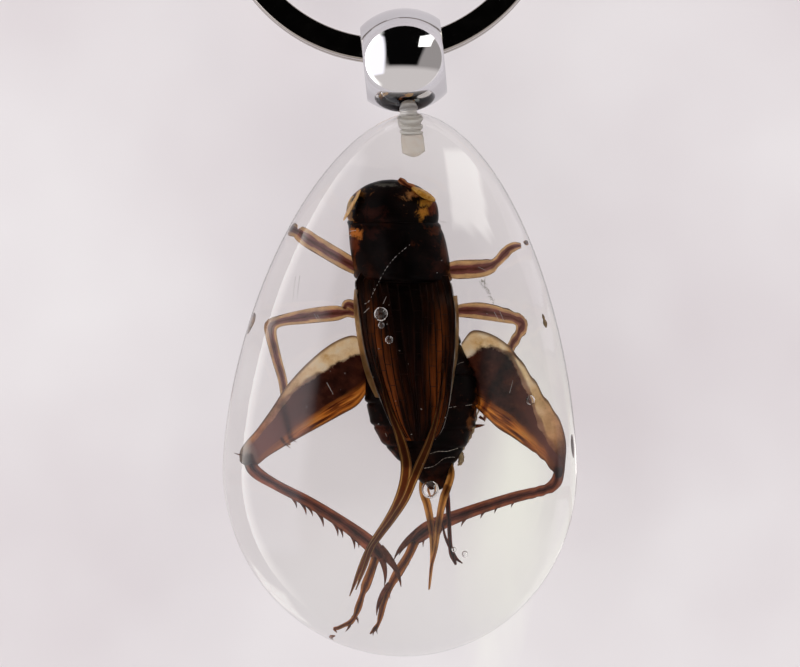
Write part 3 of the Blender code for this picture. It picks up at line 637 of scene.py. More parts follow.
def milky_glue():
    """Two-part glue that cured cloudy, with a rough skin where it met the drilled hole."""
    made, tree = new_material("milky_cured_glue")
    place = add_node(tree, "ShaderNodeTexCoord")
    clouds = add_node(tree, "ShaderNodeTexNoise", {"Vector": place.outputs["Object"], "Scale": 1800.0,
        "Detail": 4.0})
    colour = add_node(tree, "ShaderNodeValToRGB", {"Fac": clouds}, stops=[(0.3, "#F2E8DA"),
        (0.7, "#FFFDF6")])
    bump = add_node(tree, "ShaderNodeBump", {"Strength": 0.3, "Distance": 0.0001, "Height": clouds})
    shader = add_node(tree, "ShaderNodeBsdfPrincipled", {"Base Color": colour, "Roughness": 0.6,
        "IOR": 1.1, "Transmission Weight": 0.7, "Normal": bump})
    add_node(tree, "ShaderNodeOutputMaterial", {"Surface": shader})
    return made


def cuticle(name, tree_colour, roughness=0.45, grain=2500.0, see_through=0.0):
    """Insect shell set in resin, so it hardly reflects; fine pits show at its surface."""
    made, tree = new_material(name)
    place = add_node(tree, "ShaderNodeTexCoord")
    pits = add_node(tree, "ShaderNodeTexNoise", {"Vector": place.outputs["Object"], "Scale": grain,
        "Detail": 3.0})
    bump = add_node(tree, "ShaderNodeBump", {"Strength": 0.4, "Distance": 0.03 * MM, "Height": pits})
    shader = add_node(tree, "ShaderNodeBsdfPrincipled", {"Base Color": tree_colour(tree,
        place.outputs["Object"]), "Roughness": roughness, "IOR": 1.12,
        "Transmission Weight": see_through, "Normal": bump})
    add_node(tree, "ShaderNodeOutputMaterial", {"Surface": shader})
    return made


def trunk_colour(colours):
    """Near black shell, with ragged patches where it is thin, painted in the glow of light coming through,
    and one painted grey highlight on the head.
    """
    def build(tree, place):
        patch = add_node(tree, "ShaderNodeAttribute", attribute_name="patch")
        cloud = add_node(tree, "ShaderNodeTexNoise", {"Vector": place, "Scale": 420.0, "Detail": 5.0,
            "Roughness": 0.65})
        frayed = add_node(tree, "ShaderNodeTexNoise", {"Vector": place, "Scale": 1300.0, "Detail": 5.0,
            "Roughness": 0.65, "Distortion": 0.8})
        base = add_node(tree, "ShaderNodeValToRGB", {"Fac": cloud}, stops=[(0.4, "#060303"),
            (0.56, tuple(colours.dark)), (0.72, "#331509")])
        torn = add_node(tree, "ShaderNodeMapRange", {"Value": frayed, "From Min": 0.3, "From Max": 0.7,
            "To Min": -0.6, "To Max": 0.6})
        ragged = add_node(tree, "ShaderNodeMath", {0: torn, 1: patch.outputs["Alpha"]})
        soft = add_node(tree, "ShaderNodeMapRange", {"Value": ragged, "From Min": 0.3, "From Max": 0.8,
            "To Min": 0.0, "To Max": 1.0})
        depth = add_node(tree, "ShaderNodeMapRange", {"Value": cloud, "From Min": 0.35,
            "From Max": 0.65, "To Min": 0.45, "To Max": 1.25})
        shaded = add_node(tree, "ShaderNodeMix", {0: 1.0, 6: patch.outputs["Color"], 7: depth},
            data_type="RGBA", blend_type="MULTIPLY")
        return add_node(tree, "ShaderNodeMix", {0: soft, 6: base, 7: shaded}, data_type="RGBA")
    return build


def limb_colour(edge, core, dark):
    """Tube of thin shell: amber at its sides, and the dried flesh as a darker core."""
    def build(tree, place):
        across = add_node(tree, "ShaderNodeAttribute", attribute_name="across")
        along = add_node(tree, "ShaderNodeAttribute", attribute_name="along")
        cloud = add_node(tree, "ShaderNodeTexNoise", {"Vector": place, "Scale": 900.0, "Detail": 5.0,
            "Roughness": 0.6})
        stripe = add_node(tree, "ShaderNodeCombineXYZ", {"X": along.outputs["Fac"],
            "Y": across.outputs["Fac"]})
        longer = add_node(tree, "ShaderNodeMapping", {"Vector": stripe, "Scale": (0.5, 3.0, 1.0)})
        streaks = add_node(tree, "ShaderNodeTexNoise", {"Vector": longer, "Scale": 1.6, "Detail": 5.0})
        size = add_node(tree, "ShaderNodeMath", {0: across.outputs["Fac"]}, operation="ABSOLUTE")
        wander = add_node(tree, "ShaderNodeMath", {0: streaks, 1: 0.7, 2: size},
            operation="MULTIPLY_ADD")
        scaled = add_node(tree, "ShaderNodeMath", {0: wander, 1: 0.6}, operation="MULTIPLY")
        skin = add_node(tree, "ShaderNodeValToRGB", {"Fac": scaled}, stops=[(0.24, dark), (0.38, core),
            (0.47, core), (0.52, edge), (0.75, edge), (0.81, dark)])
        shade = add_node(tree, "ShaderNodeMapRange", {"Value": cloud, "From Min": 0.3, "From Max": 0.7,
            "To Min": 0.6, "To Max": 1.3})
        return add_node(tree, "ShaderNodeMix", {0: 1.0, 6: skin, 7: shade}, data_type="RGBA",
            blend_type="MULTIPLY")
    return build


def thigh_colour(colours):
    """Hind thigh: cream upper band, near black flesh, amber streaks along the lower edge."""
    def build(tree, place):
        band = add_node(tree, "ShaderNodeAttribute", attribute_name="band")
        low = add_node(tree, "ShaderNodeAttribute", attribute_name="low")
        along = add_node(tree, "ShaderNodeAttribute", attribute_name="along")
        grid = add_node(tree, "ShaderNodeCombineXYZ", {"X": along.outputs["Fac"],
            "Y": low.outputs["Fac"]})
        drawn = add_node(tree, "ShaderNodeMapping", {"Vector": grid, "Scale": (0.1, 9.0, 1.0)})
        streaks = add_node(tree, "ShaderNodeTexNoise", {"Vector": drawn, "Scale": 2.2, "Detail": 5.0,
            "Roughness": 0.6})
        blots = add_node(tree, "ShaderNodeTexNoise", {"Vector": place, "Scale": 650.0, "Detail": 6.0,
            "Roughness": 0.65})
        # share of the way to the knee, where every tone turns brown
        kneeward = add_node(tree, "ShaderNodeMapRange", {"Value": along.outputs["Fac"], "From Min": 4.5,
            "From Max": 11.0, "To Min": 0.0, "To Max": 0.95})
        amber = add_node(tree, "ShaderNodeValToRGB", {"Fac": streaks}, stops=[(0.38, "#32130A"),
            (0.45, tuple(colours.amber)), (0.54, "#DA8230"), (0.66, "#FFC062")])
        worn = add_node(tree, "ShaderNodeMix", {0: kneeward, 6: amber, 7: linear("#9A6048")},
            data_type="RGBA")
        flesh = add_node(tree, "ShaderNodeValToRGB", {"Fac": blots}, stops=[(0.35, "#180A07"),
            (0.55, "#3C1B12"), (0.75, "#6E3A22")])
        thinner = add_node(tree, "ShaderNodeMix", {0: kneeward, 6: flesh, 7: linear("#84554E")},
            data_type="RGBA")
        rough_low = add_node(tree, "ShaderNodeMath", {0: streaks, 1: 0.5, 2: low.outputs["Fac"]},
            operation="MULTIPLY_ADD")
        low_mask = add_node(tree, "ShaderNodeMapRange", {"Value": rough_low, "From Min": 0.44,
            "From Max": 0.52, "To Min": 1.0, "To Max": 0.0})
        under = add_node(tree, "ShaderNodeMix", {0: low_mask, 6: thinner, 7: worn}, data_type="RGBA")
        cream = add_node(tree, "ShaderNodeValToRGB", {"Fac": blots}, stops=[(0.3, "#D2A058"),
            (0.48, tuple(colours.cream)), (0.7, "#FFF6DC")])
        rust = add_node(tree, "ShaderNodeValToRGB", {"Fac": blots}, stops=[(0.36, "#54260F"),
            (0.5, "#AC6029"), (0.66, "#E49C54")])
        tanned = add_node(tree, "ShaderNodeMix", {0: kneeward, 6: cream, 7: rust}, data_type="RGBA")
        rough_band = add_node(tree, "ShaderNodeMath", {0: blots, 1: 0.22, 2: band.outputs["Fac"]},
            operation="MULTIPLY_ADD")
        band_mask = add_node(tree, "ShaderNodeMapRange", {"Value": rough_band, "From Min": 0.09,
            "From Max": 0.125, "To Min": 0.0, "To Max": 1.0})
        shell = add_node(tree, "ShaderNodeMix", {0: band_mask, 6: under, 7: tanned}, data_type="RGBA")
        # both edges end in a thin brown line, where the shell is seen edge on
        rim = add_node(tree, "ShaderNodeAttribute", attribute_name="rim")
        edge = add_node(tree, "ShaderNodeMapRange", {"Value": rim.outputs["Fac"], "From Min": 0.91,
            "From Max": 0.97, "To Min": 0.0, "To Max": 0.9})
        darker = add_node(tree, "ShaderNodeMix", {0: edge, 6: shell, 7: linear("#5E3416")},
            data_type="RGBA")
        knee = add_node(tree, "ShaderNodeAttribute", attribute_name="knee")
        kneed = add_node(tree, "ShaderNodeMix", {0: knee.outputs["Fac"], 6: darker,
            7: linear("#3A1712")}, data_type="RGBA")
        # pale grey over the upper side of the left knee's outer tip
        frost = add_node(tree, "ShaderNodeAttribute", attribute_name="frost")
        return add_node(tree, "ShaderNodeMix", {0: frost.outputs["Fac"], 6: kneed,
            7: linear("#D8CCBC")}, data_type="RGBA")
    return build


def wing_colour(colours):
    """Leathery wing case: near black, with amber streaks near its outer edge."""
    def build(tree, place):
        across = add_node(tree, "ShaderNodeAttribute", attribute_name="across")
        along = add_node(tree, "ShaderNodeAttribute", attribute_name="along")
        grid = add_node(tree, "ShaderNodeCombineXYZ", {"X": along.outputs["Fac"],
            "Y": across.outputs["Fac"]})
        drawn = add_node(tree, "ShaderNodeMapping", {"Vector": grid, "Scale": (0.09, 4.0, 1.0)})
        fibres = add_node(tree, "ShaderNodeTexNoise", {"Vector": drawn, "Scale": 2.0, "Detail": 6.0,
            "Roughness": 0.55})
        brown = add_node(tree, "ShaderNodeValToRGB", {"Fac": fibres}, stops=[(0.36, "#050202"),
            (0.5, tuple(colours.dark)), (0.64, "#210D07"), (0.76, "#34150B")])
        # the wing is one layer thick in a stripe beside its edge, and it is painted amber there as light
        # coming through
        stripe = add_node(tree, "ShaderNodeValToRGB", {"Fac": across.outputs["Fac"]},
            stops=[(0.0, 0.03), (0.3, 0.06), (0.5, 0.5), (0.66, 1.0), (0.82, 0.7), (0.9, 0.08),
            (0.95, 0.5), (1.0, 0.1)])
        lower = add_node(tree, "ShaderNodeMapRange", {"Value": along.outputs["Fac"], "From Min": 1.0,
            "From Max": 15.0, "To Min": 0.1, "To Max": 1.9})
        streak = add_node(tree, "ShaderNodeMapRange", {"Value": fibres, "From Min": 0.38,
            "From Max": 0.62, "To Min": 0.05, "To Max": 1.2})
        share = add_node(tree, "ShaderNodeMath", {0: stripe, 1: lower}, operation="MULTIPLY")
        lit = add_node(tree, "ShaderNodeMath", {0: share, 1: streak}, operation="MULTIPLY",
            use_clamp=True)
        rooted = add_node(tree, "ShaderNodeMix", {0: lower, 6: linear("#060302"), 7: brown},
            data_type="RGBA")
        return add_node(tree, "ShaderNodeMix", {0: lit, 6: rooted, 7: tuple(colours.amber)},
            data_type="RGBA")
    return build


def membrane_colour(edge, core):
    """Folded wing: a brown core of packed folds between pale gold edges."""
    def build(tree, place):
        across = add_node(tree, "ShaderNodeAttribute", attribute_name="across")
        size = add_node(tree, "ShaderNodeMath", {0: across.outputs["Fac"]}, operation="ABSOLUTE")
        cloud = add_node(tree, "ShaderNodeTexNoise", {"Vector": place, "Scale": 900.0, "Detail": 4.0})
        wander = add_node(tree, "ShaderNodeMath", {0: cloud, 1: 0.4, 2: size}, operation="MULTIPLY_ADD")
        tail = add_node(tree, "ShaderNodeValToRGB", {"Fac": wander}, stops=[(0.3, core), (0.6, core),
            (0.7, "#8A5426"), (0.84, edge), (1.0, "#8A5A30")])
        # where it lies on the wing case it is as dark as that
        along = add_node(tree, "ShaderNodeAttribute", attribute_name="along")
        upper = add_node(tree, "ShaderNodeMapRange", {"Value": along.outputs["Fac"], "From Min": 14.0,
            "From Max": 40.0, "To Min": 0.9, "To Max": 0.0})
        return add_node(tree, "ShaderNodeMix", {0: upper, 6: tail, 7: linear("#3A1A0C")},
            data_type="RGBA")
    return build


def plain_mottle(dark, light, scale):
    """Two tones of one colour in a soft mottle."""
    def build(tree, place):
        cloud = add_node(tree, "ShaderNodeTexNoise", {"Vector": place, "Scale": scale, "Detail": 4.0})
        return add_node(tree, "ShaderNodeValToRGB", {"Fac": cloud}, stops=[(0.3, dark), (0.7, light)])
    return build


# Resin drop

OUTLINE_STEPS = 200
DOME_STEPS = 90
WALL_STEPS = 28
BACK_STEPS = 14
FLAT_STEPS = 8
SHOULDER_POWER = 1.7
APEX_POWER = 0.56
CROWN_Y = 0.003
GIRDLE_Z = 0.004
BACK_ROUNDING = 0.0015
RIPPLE = 0.000008
RIPPLE_LENGTH = 0.00085
DOME_BASE_Z = 0.0049        # centre and spread of the dome, which is flatter than the wall
DOME_SPREAD = 1.045
SHOULDER = 0.95             # where the dome bends over into the wall, as a share of the girdle
SHOULDER_BEND = 0.0009
WALL_BEND = 0.0022
RIPPLE_SIDE = (0.25, 0.5)   # where the ripples set in towards the right, and over what share
RIPPLE_BAND = (0.82, 0.09)  # share of the girdle that they lie at, and the band's width
BOW = (-0.18, 0.42)         # the outline's shift to the side, in millimetres, and its bend
BOW_SPAN = (8.0, 24.5)      # the y that it bends about and the length it bends over
# inset and radius of the painted dark outline round the girdle
OUTLINE_INSET = 0.9985
OUTLINE_RADIUS = 0.00006
BUBBLE_FLATNESS = (1.0, 1.08, 0.5, 1.0)


def drop_outline(sizes):
    """Points round the girdle with each one's angle, closest together at the two ends."""
    made = []
    for i in range(OUTLINE_STEPS):
        angle = 2 * pi * i / OUTLINE_STEPS
        rise = sin(angle)
        y = rise * (sizes.to_apex if rise > 0 else sizes.to_end)
        if rise >= 0:
            half = (max(0.0, 1 - rise ** SHOULDER_POWER)) ** APEX_POWER
        else:
            half = sqrt(max(0.0, 1 - rise * rise))
        x = half * sizes.half_width * (1 if cos(angle) >= 0 else -1)
        bow = (BOW[0] + BOW[1] * ((y / MM - BOW_SPAN[0]) / BOW_SPAN[1]) ** 2) * MM
        made.append((x + bow, y, cos(angle)))
    return made


def section_profile(sizes):
    """(share of the girdle, height) from the middle of the back round to the crown."""
    inset = BACK_ROUNDING / sizes.half_width
    made = [((1 - inset) * (k + 1) / (FLAT_STEPS + 1), 0.0) for k in range(FLAT_STEPS)]
    for k in range(BACK_STEPS):
        turn = pi / 2 * k / BACK_STEPS
        made.append((1 - inset * (1 - sin(turn)), GIRDLE_Z * (1 - cos(turn))))
    # the wall rises from the girdle and bends over into the dome
    rise = sizes.thickness - DOME_BASE_Z
    edge = sqrt(1 - (SHOULDER / DOME_SPREAD) ** 2)
    top = (SHOULDER, DOME_BASE_Z + rise * edge)
    slope = rise / (DOME_SPREAD * sizes.half_width) * (SHOULDER / DOME_SPREAD) / edge
    bend = Vector((1.0, -slope)).normalized() * SHOULDER_BEND
    corners = [(1.0, GIRDLE_Z), (1.0, GIRDLE_Z + WALL_BEND),
               (top[0] + bend.x / sizes.half_width, top[1] + bend.y), top]
    for k in range(WALL_STEPS):
        t = k / WALL_STEPS
        weights = ((1 - t) ** 3, 3 * t * (1 - t) ** 2, 3 * t * t * (1 - t), t ** 3)
        made.append(tuple(sum(w * corner[axis] for w, corner in zip(weights, corners))
                          for axis in (0, 1)))
    for k in range(DOME_STEPS):
        share = SHOULDER * (1 - (k / DOME_STEPS) ** 1.1)
        made.append((share, DOME_BASE_Z + rise * sqrt(1 - (share / DOME_SPREAD) ** 2)))
    return made


class CRICKETDROP_OT_resin(bpy.types.Operator):
    """Builds the clear drop with its trapped bubbles"""
    bl_idname = "cricketdrop.resin"
    bl_label = "Clear drop"

    def execute(self, context):
        sizes = context.scene.cricketdrop_resin
        shape = Shape()
        outline = drop_outline(sizes)
        rings = []
        for scale, z in section_profile(sizes):
            ring = []
            for x, y, side in outline:
                # fine ripples of the hand polish run along the right side of the dome
                share = min(1.0, max(0.0, (side - RIPPLE_SIDE[0]) / RIPPLE_SIDE[1]))
                near_edge = 0.0
                if z > GIRDLE_Z:
                    near_edge = exp(-((scale - RIPPLE_BAND[0]) / RIPPLE_BAND[1]) ** 2)
                wave = sin(scale * sizes.half_width / RIPPLE_LENGTH * 2 * pi)
                ring.append(shape.add(Vector((x * scale, CROWN_Y + (y - CROWN_Y) * scale,
                                              z + RIPPLE * wave * share * near_edge))))
            rings.append(ring)
        shape.loft(rings)
        shape.points[-1].z = sizes.thickness
        made = shape.object("resin_drop", cast_resin(sizes), sharp=radians(80))
        self.add_bubbles(made.data)
        placed(made, "drop", "resin", "resin_front", "resin_back")
        self.painted_outline(outline)
        return {"FINISHED"}

    def painted_outline(self, outline):
        """Painted shade: a fine matt dark thread round the girdle that draws the drop's dark outline."""
        material = cuticle("painted_rim_shade", plain_mottle("#4A4036", "#7A6C5C", 500.0),
                           roughness=0.6, see_through=0.5)
        path = [(Vector((x * OUTLINE_INSET, CROWN_Y + (y - CROWN_Y) * OUTLINE_INSET, GIRDLE_Z)),
                 OUTLINE_RADIUS) for x, y, side in outline]
        placed(threads("painted_outline", [path + path[:1]], material, tubes_tree(), sides=6),
               "drop", "resin")

    def add_bubbles(self, mesh):
        """Adds each bubble as a hollow whose faces point out of the resin, into the air."""
        whole = bmesh.new()
        whole.from_mesh(mesh)
        for x, y, z, radius in BUBBLES:
            ball = bmesh.ops.create_icosphere(
                whole, subdivisions=3, radius=radius * MM,
                matrix=Matrix.Translation(seen(x, y, z)) @ Matrix.Diagonal(BUBBLE_FLATNESS))
            faces = {face for vert in ball["verts"] for face in vert.link_faces}
            bmesh.ops.reverse_faces(whole, faces=list(faces))
            for face in faces:
                face.smooth = True
        whole.to_mesh(mesh)
        whole.free()


HAIRLINE = 0.00002          # radius of the finest marks
AIR_STEPS = 90
AIR_DASH = 5
COLLAR_Z = 6.6
MOTES = 46
MOTE_Z = 9.3
SMUDGE_DOTS = 60
SMUDGE_Z = 8.6
CRUMB_RADII = (0.04, 0.1, 0.13, 0.1, 0.15, 0.2, 0.19, 0.13, 0.04)


class CRICKETDROP_OT_marks(bpy.types.Operator):
    """Builds the silvery air lines over the insect and the fine scratches and specks"""
    bl_idname = "cricketdrop.marks"
    bl_label = "Air lines and scratches"

    def execute(self, context):
        tree = tubes_tree()
        # air that crept between resin and shell scatters light, so it reads as white thread
        material = cuticle("trapped_air", plain_mottle("#D8D2CC", "#FFFFFF", 900.0),
                           roughness=0.3)
        paths = []
        line = smoothed(AIR_LINE, AIR_STEPS)
        for k in range(0, AIR_STEPS - 2, AIR_DASH):
            length = 2 + (k * 7 % 3)
            paths.append([(seen(*line[i]), HAIRLINE)
                          for i in range(k, min(k + length, AIR_STEPS))])
        for x, y, dx, dy in COLLAR_HAIRS:
            paths.append([(seen(x, y, COLLAR_Z), 1.25 * HAIRLINE),
                          (seen(x + dx, y + dy, COLLAR_Z - 0.1), HAIRLINE)])
        placed(threads("air_lines", paths, material, tree, sides=6), "drop", "resin")
        self.specks(material, tree)
        return {"FINISHED"}

    def specks(self, material, tree):
        """Fine scratches, dust motes, a grey smudge and an amber crumb near the surface."""
        lines = [[(seen(x, y, z), HAIRLINE), (seen(x + dx, y + dy, z), 0.6 * HAIRLINE)]
                 for x, y, z, dx, dy in SCRATCHES]
        chance = Random(7)
        for _ in range(MOTES):
            x, y = chance.uniform(-11.0, 11.0), chance.uniform(-6.0, 20.0)
            turn, size = chance.uniform(0, pi), chance.uniform(0.03, 0.16)
            lines.append([(seen(x, y, MOTE_Z), HAIRLINE),
                          (seen(x + size * cos(turn), y + size * sin(turn), MOTE_Z), HAIRLINE)])
        placed(threads("scratches_and_motes", lines, material, tree, sides=5), "drop", "resin")
        # the smudge runs down from left to right, and its dots scatter about that line
        smudge = []
        for _ in range(SMUDGE_DOTS):
            share = chance.random()
            x = 7.0 + 1.3 * share + chance.gauss(0, 0.14)
            y = 18.2 - 2.2 * share + chance.gauss(0, 0.2)
            smudge.append([(seen(x, y, SMUDGE_Z), 1.5 * HAIRLINE),
                           (seen(x + chance.uniform(-0.15, 0.15), y + 0.1, SMUDGE_Z), HAIRLINE)])
        grey = cuticle("grey_smudge", plain_mottle("#9A948C", "#C4BEB4", 900.0), roughness=0.5)
        placed(threads("smudge", smudge, grey, tree, sides=5), "drop", "resin")
        crumb = [[(seen(12.55 + 0.05 * k, 14.95 - 0.16 * k, 5.4), size * MM)
                  for k, size in enumerate(CRUMB_RADII)]]
        amber = cuticle("amber_crumb", plain_mottle("#6B4E1A", "#A8843C", 1500.0),
                        roughness=0.5, see_through=0.4)
        placed(threads("amber_crumb", crumb, amber, tree, sides=8), "drop", "resin")


# Bead, pin and ring

BEAD_CENTRE = Vector((-0.94, 37.92, 5.6)) * MM
BAIL = Matrix.Translation(BEAD_CENTRE) @ Matrix.Rotation(radians(7.5), 4, "Z")
BEAD_SIDES = 128
BEAD_STEPS = 48
BARREL_SHARE = 0.985        # of the half length, where the barrel ends and its edge breaks
FACE_EDGE = 0.00008
BORE_LIP = [(0.0, 0.00015), (0.00006, 0.00005), (0.0002, 0.0)]  # (in from face, out from bore)
CLEAR = 0.0003
PIN_SOCKET = 0.001
PIN_TURNS = 6
THREAD_DEPTH = 0.00038
THREAD_RIDGE = 0.00017
THREAD_RUNOUT = 0.3         # of a turn that the thread stops short of the pin's end
PIN_BEVEL = 0.0001
GLUE_RADIUS = 0.0009
GLUE_LENGTH = 0.0013
DRILL_TIP = 0.00045


def turned(shape, profile, sides, turn, closed=False):
    """Turns (distance along, radius) points about the bail's X axis, then by a matrix."""
    rings = []
    for along, radius in profile:
        rings.append([shape.add(turn @ Vector((along, radius * cos(2 * pi * i / sides),
                                               radius * sin(2 * pi * i / sides))))
                      for i in range(sides)])
    shape.loft(rings, closed)


class CRICKETDROP_OT_bead(bpy.types.Operator):
    """Builds the chrome barrel bead with its bore"""
    bl_idname = "cricketdrop.bead"
    bl_label = "Chrome bead"

    def execute(self, context):
        sizes = context.scene.cricketdrop_metal
        half = sizes.bead_half_length
        reach = half / sqrt(1 - (sizes.bead_face_radius / sizes.bead_radius) ** 2)
        profile = []
        for k in range(BEAD_STEPS + 1):
            x = half * (2 * k / BEAD_STEPS - 1) * BARREL_SHARE
            profile.append((x, sizes.bead_radius * sqrt(1 - (x / reach) ** 2)))
        edge = [(half, profile[-1][1] - FACE_EDGE)]
        edge += [(half - inward, sizes.bore_radius + out) for inward, out in BORE_LIP]
        bore = edge + [(-x, radius) for x, radius in edge[::-1]]
        shape = Shape()
        turned(shape, profile + bore, BEAD_SIDES, BAIL, closed=True)
        # plated and polished steel: a clear mirror, with the faint haze of handling
        chrome = metal("polished_chrome_plate", "#D6D6D9", smooth=0.03, rough=0.07, grain=900.0)
        placed(shape.object("chrome_bead", chrome, sharp=radians(40)), "drop", "chrome", "bead")
        return {"FINISHED"}


class CRICKETDROP_OT_pin(bpy.types.Operator):
    """Builds the threaded pin and the glue below it"""
    bl_idname = "cricketdrop.pin"
    bl_label = "Threaded pin and glue"

    def execute(self, context):
        sizes = context.scene.cricketdrop_metal
        # dull zinc, painted near white with little metal in place of its bright reflections, so it reads as
        # pale and hardly mirrors
        zinc = metal("zinc_plated_thread", "#FFFCF6", smooth=0.3, rough=0.45, grain=2200.0,
                     shine=0.1)
        root = sizes.pin_radius - THREAD_DEPTH
        top = -(sizes.bead_radius - PIN_SOCKET) - CLEAR
        neck = -sizes.bead_radius
        end = neck - sizes.pin_pitch * PIN_TURNS
        upright = BAIL @ Matrix.Rotation(pi / 2, 4, "Z")
        core = Shape()
        turned(core, [(top, root), (end + PIN_BEVEL, root), (end, root - PIN_BEVEL)], 48,
               Matrix.Identity(4))
        pin = core.object("threaded_pin", zinc)
        # the thread is wound about Z, so it is turned to lie along X with the core
        pin.data.transform(Matrix.Rotation(-pi / 2, 4, "Y") @ Matrix.Translation((-end, 0, 0)))
        converted(pin, thread_tree(),
                  {"Radius": root, "Turns": float(PIN_TURNS) - THREAD_RUNOUT,
                   "Pitch": sizes.pin_pitch, "Ridge": THREAD_RIDGE, "Material": zinc})
        pin.data.transform(upright @ Matrix.Translation((end, 0, 0))
                           @ Matrix.Rotation(pi / 2, 4, "Y"))
        placed(pin, "drop", "pin", "screw_pin")

        start = end - CLEAR
        foot = start - GLUE_LENGTH
        profile = [(end + PIN_BEVEL, 0.9), (start, 1.0), (foot, 1.0),
                   (foot - DRILL_TIP * 0.8, 0.4), (foot - DRILL_TIP, 0.12)]
        glue = Shape()
        turned(glue, [(along, GLUE_RADIUS * share) for along, share in profile], 40, upright)
        placed(glue.object("glue_in_hole", milky_glue()), "drop", "glue", "glue_plug")
        return {"FINISHED"}


RING_SEGMENTS = 150
RING_IN_BORE = 0.00095
RING_STEP = radians(30)
RING_STEP_AT = radians(120)
RING_CORNER = 0.00018


class CRICKETDROP_OT_ring(bpy.types.Operator):
    """Builds the flat split ring of two turns"""
    bl_idname = "cricketdrop.ring"
    bl_label = "Split ring"

    def execute(self, context):
        sizes = context.scene.cricketdrop_metal
        reach = RING_IN_BORE + 2 * sizes.ring_radius + sizes.ring_band / 2
        rise = sizes.ring_turn + CLEAR * 0.25
        half_height = sizes.ring_turn + CLEAR / 2
        droop = asin((BEAD_CENTRE.z - half_height - CLEAR / 2) / reach)
        turn = BAIL @ Matrix.Rotation(-droop, 4, "X")
        total = 4 * pi - RING_STEP
        count = round(total / (2 * pi) * RING_SEGMENTS)
        shape = Shape()
        rings = []
        for i in range(count + 1):
            swept = total * i / count
            climbed = min(1.0, max(0.0, (swept - (2 * pi - RING_STEP)) / RING_STEP))
            lift = rise * climbed * climbed * (3 - 2 * climbed) - rise / 2
            angle = RING_STEP_AT + swept
            ends = min(1.0, (min(i, count - i) + 0.4) / 2)
            ring = []
            for across, height in self.section(sizes, ends):
                radius = sizes.ring_radius + across
                ring.append(shape.add(turn @ Vector((
                    radius * cos(angle), RING_IN_BORE + sizes.ring_radius + radius * sin(angle),
                    lift + height))))
            rings.append(ring)
        shape.loft(rings)
        # rolled wire with nickel plate: a warm grey mirror that takes up the room's dark side
        nickel = metal("nickel_plated_flat_wire", "#A9A39D", smooth=0.05, rough=0.16, grain=700.0)
        placed(shape.object("flat_split_ring", nickel, sharp=radians(40)), "ring", "ring",
               "split_ring")
        return {"FINISHED"}

    def section(self, sizes, ends):
        """Rounded rectangle of the flat wire, a little smaller at its two cut ends."""
        points = []
        for corner, (right, up) in enumerate(((1, 1), (-1, 1), (-1, -1), (1, -1))):
            for k in range(5):
                angle = pi / 2 * (corner + k / 4)
                x = right * (sizes.ring_band / 2 - RING_CORNER) + RING_CORNER * cos(angle)
                z = up * (sizes.ring_turn / 2 - RING_CORNER) + RING_CORNER * sin(angle)
                points.append((x * (0.9 + 0.1 * ends), z * (0.8 + 0.2 * ends)))
        return points


# Cricket

TRUNK_SIDES = 64
ABDOMEN_STEPS = 180
# Thin places in the shell as (x, y, half width, half height, colour); the grey strip at the head's front
# edge is a painted highlight
HEAD_PATCHES = [
    (1.5, 25.1, 0.8, 0.45, "#E0A040"), (1.35, 24.2, 0.5, 0.6, "#D08A34"),
    (2.1, 24.6, 0.5, 0.8, "#6B2E18"), (0.3, 25.9, 0.6, 0.5, "#B07A4A"),
    (-5.3, 24.3, 0.3, 1.3, "#D8A850"), (-4.5, 25.8, 0.6, 0.3, "#8A5A2A"),
    # the grey strip at (-2.0, 26.6) is a painted highlight on the head's front edge
    (-5.4, 23.3, 0.4, 0.5, "#C08A48"), (-2.0, 26.6, 1.2, 0.16, "#5A564E"),
    (-3.2, 24.2, 1.2, 0.8, "#2E120B"),
]
PRONOTUM_PATCHES = [
    (-4.8, 21.95, 0.75, 0.55, "#D07A34"), (-4.9, 21.0, 0.4, 1.0, "#6A3018"),
    (3.3, 20.6, 0.5, 1.6, "#45200F"), (2.4, 22.5, 0.7, 0.5, "#5A2A12"),
    (-4.9, 18.7, 0.3, 1.0, "#6A3E20"), (3.95, 18.4, 0.3, 1.3, "#8A5A34"),
    (2.9, 19.3, 0.7, 0.9, "#2E120B"), (-3.5, 22.0, 0.9, 0.7, "#2A0E08"),
]
ABDOMEN_PATCHES = [
    (-2.1, 3.2, 0.8, 1.3, "#4A2012"), (6.65, 6.6, 0.2, 2.4, "#6A3A1C"),
    (6.2, 4.3, 0.25, 1.2, "#7A4A28"), (3.1, -0.9, 1.3, 0.6, "#3E1C10"),
    (-1.0, 1.4, 0.5, 0.8, "#5A2818"), (1.2, 1.6, 1.4, 0.9, "#1E0D08"),
]
# Eyes as (name, x, y, z, half length, half width, turn in degrees)
EYES = [("eye_right", 1.25, 25.85, 6.3, 1.15, 0.34, -31), ("eye_left", -5.2, 24.6, 6.0, 1.6, 0.1, 64)]
EYE_DEPTH = 1.2
EYE_STEPS = 16
EYE_SIDES = 24
# Seams of the rings, painted white as highlights where they caught the light, each as places (x, y)
RING_SEAMS = [
    [(4.86, 10.08), (5.1, 10.22), (5.38, 10.29)], [(4.22, 6.05), (4.5, 6.1)],
    [(4.65, 6.12), (4.89, 6.17)], [(5.74, 6.25), (6.3, 6.35)],
    [(2.6, 1.74), (3.36, 1.96), (4.2, 1.98), (5.12, 2.27)],
    [(2.11, 0.41), (2.93, 0.61), (3.39, 0.92), (3.97, 1.35), (5.03, 1.5)],
    [(-1.6, 3.5), (-1.45, 3.2)], [(2.8, 3.2), (3.1, 3.05)],
]
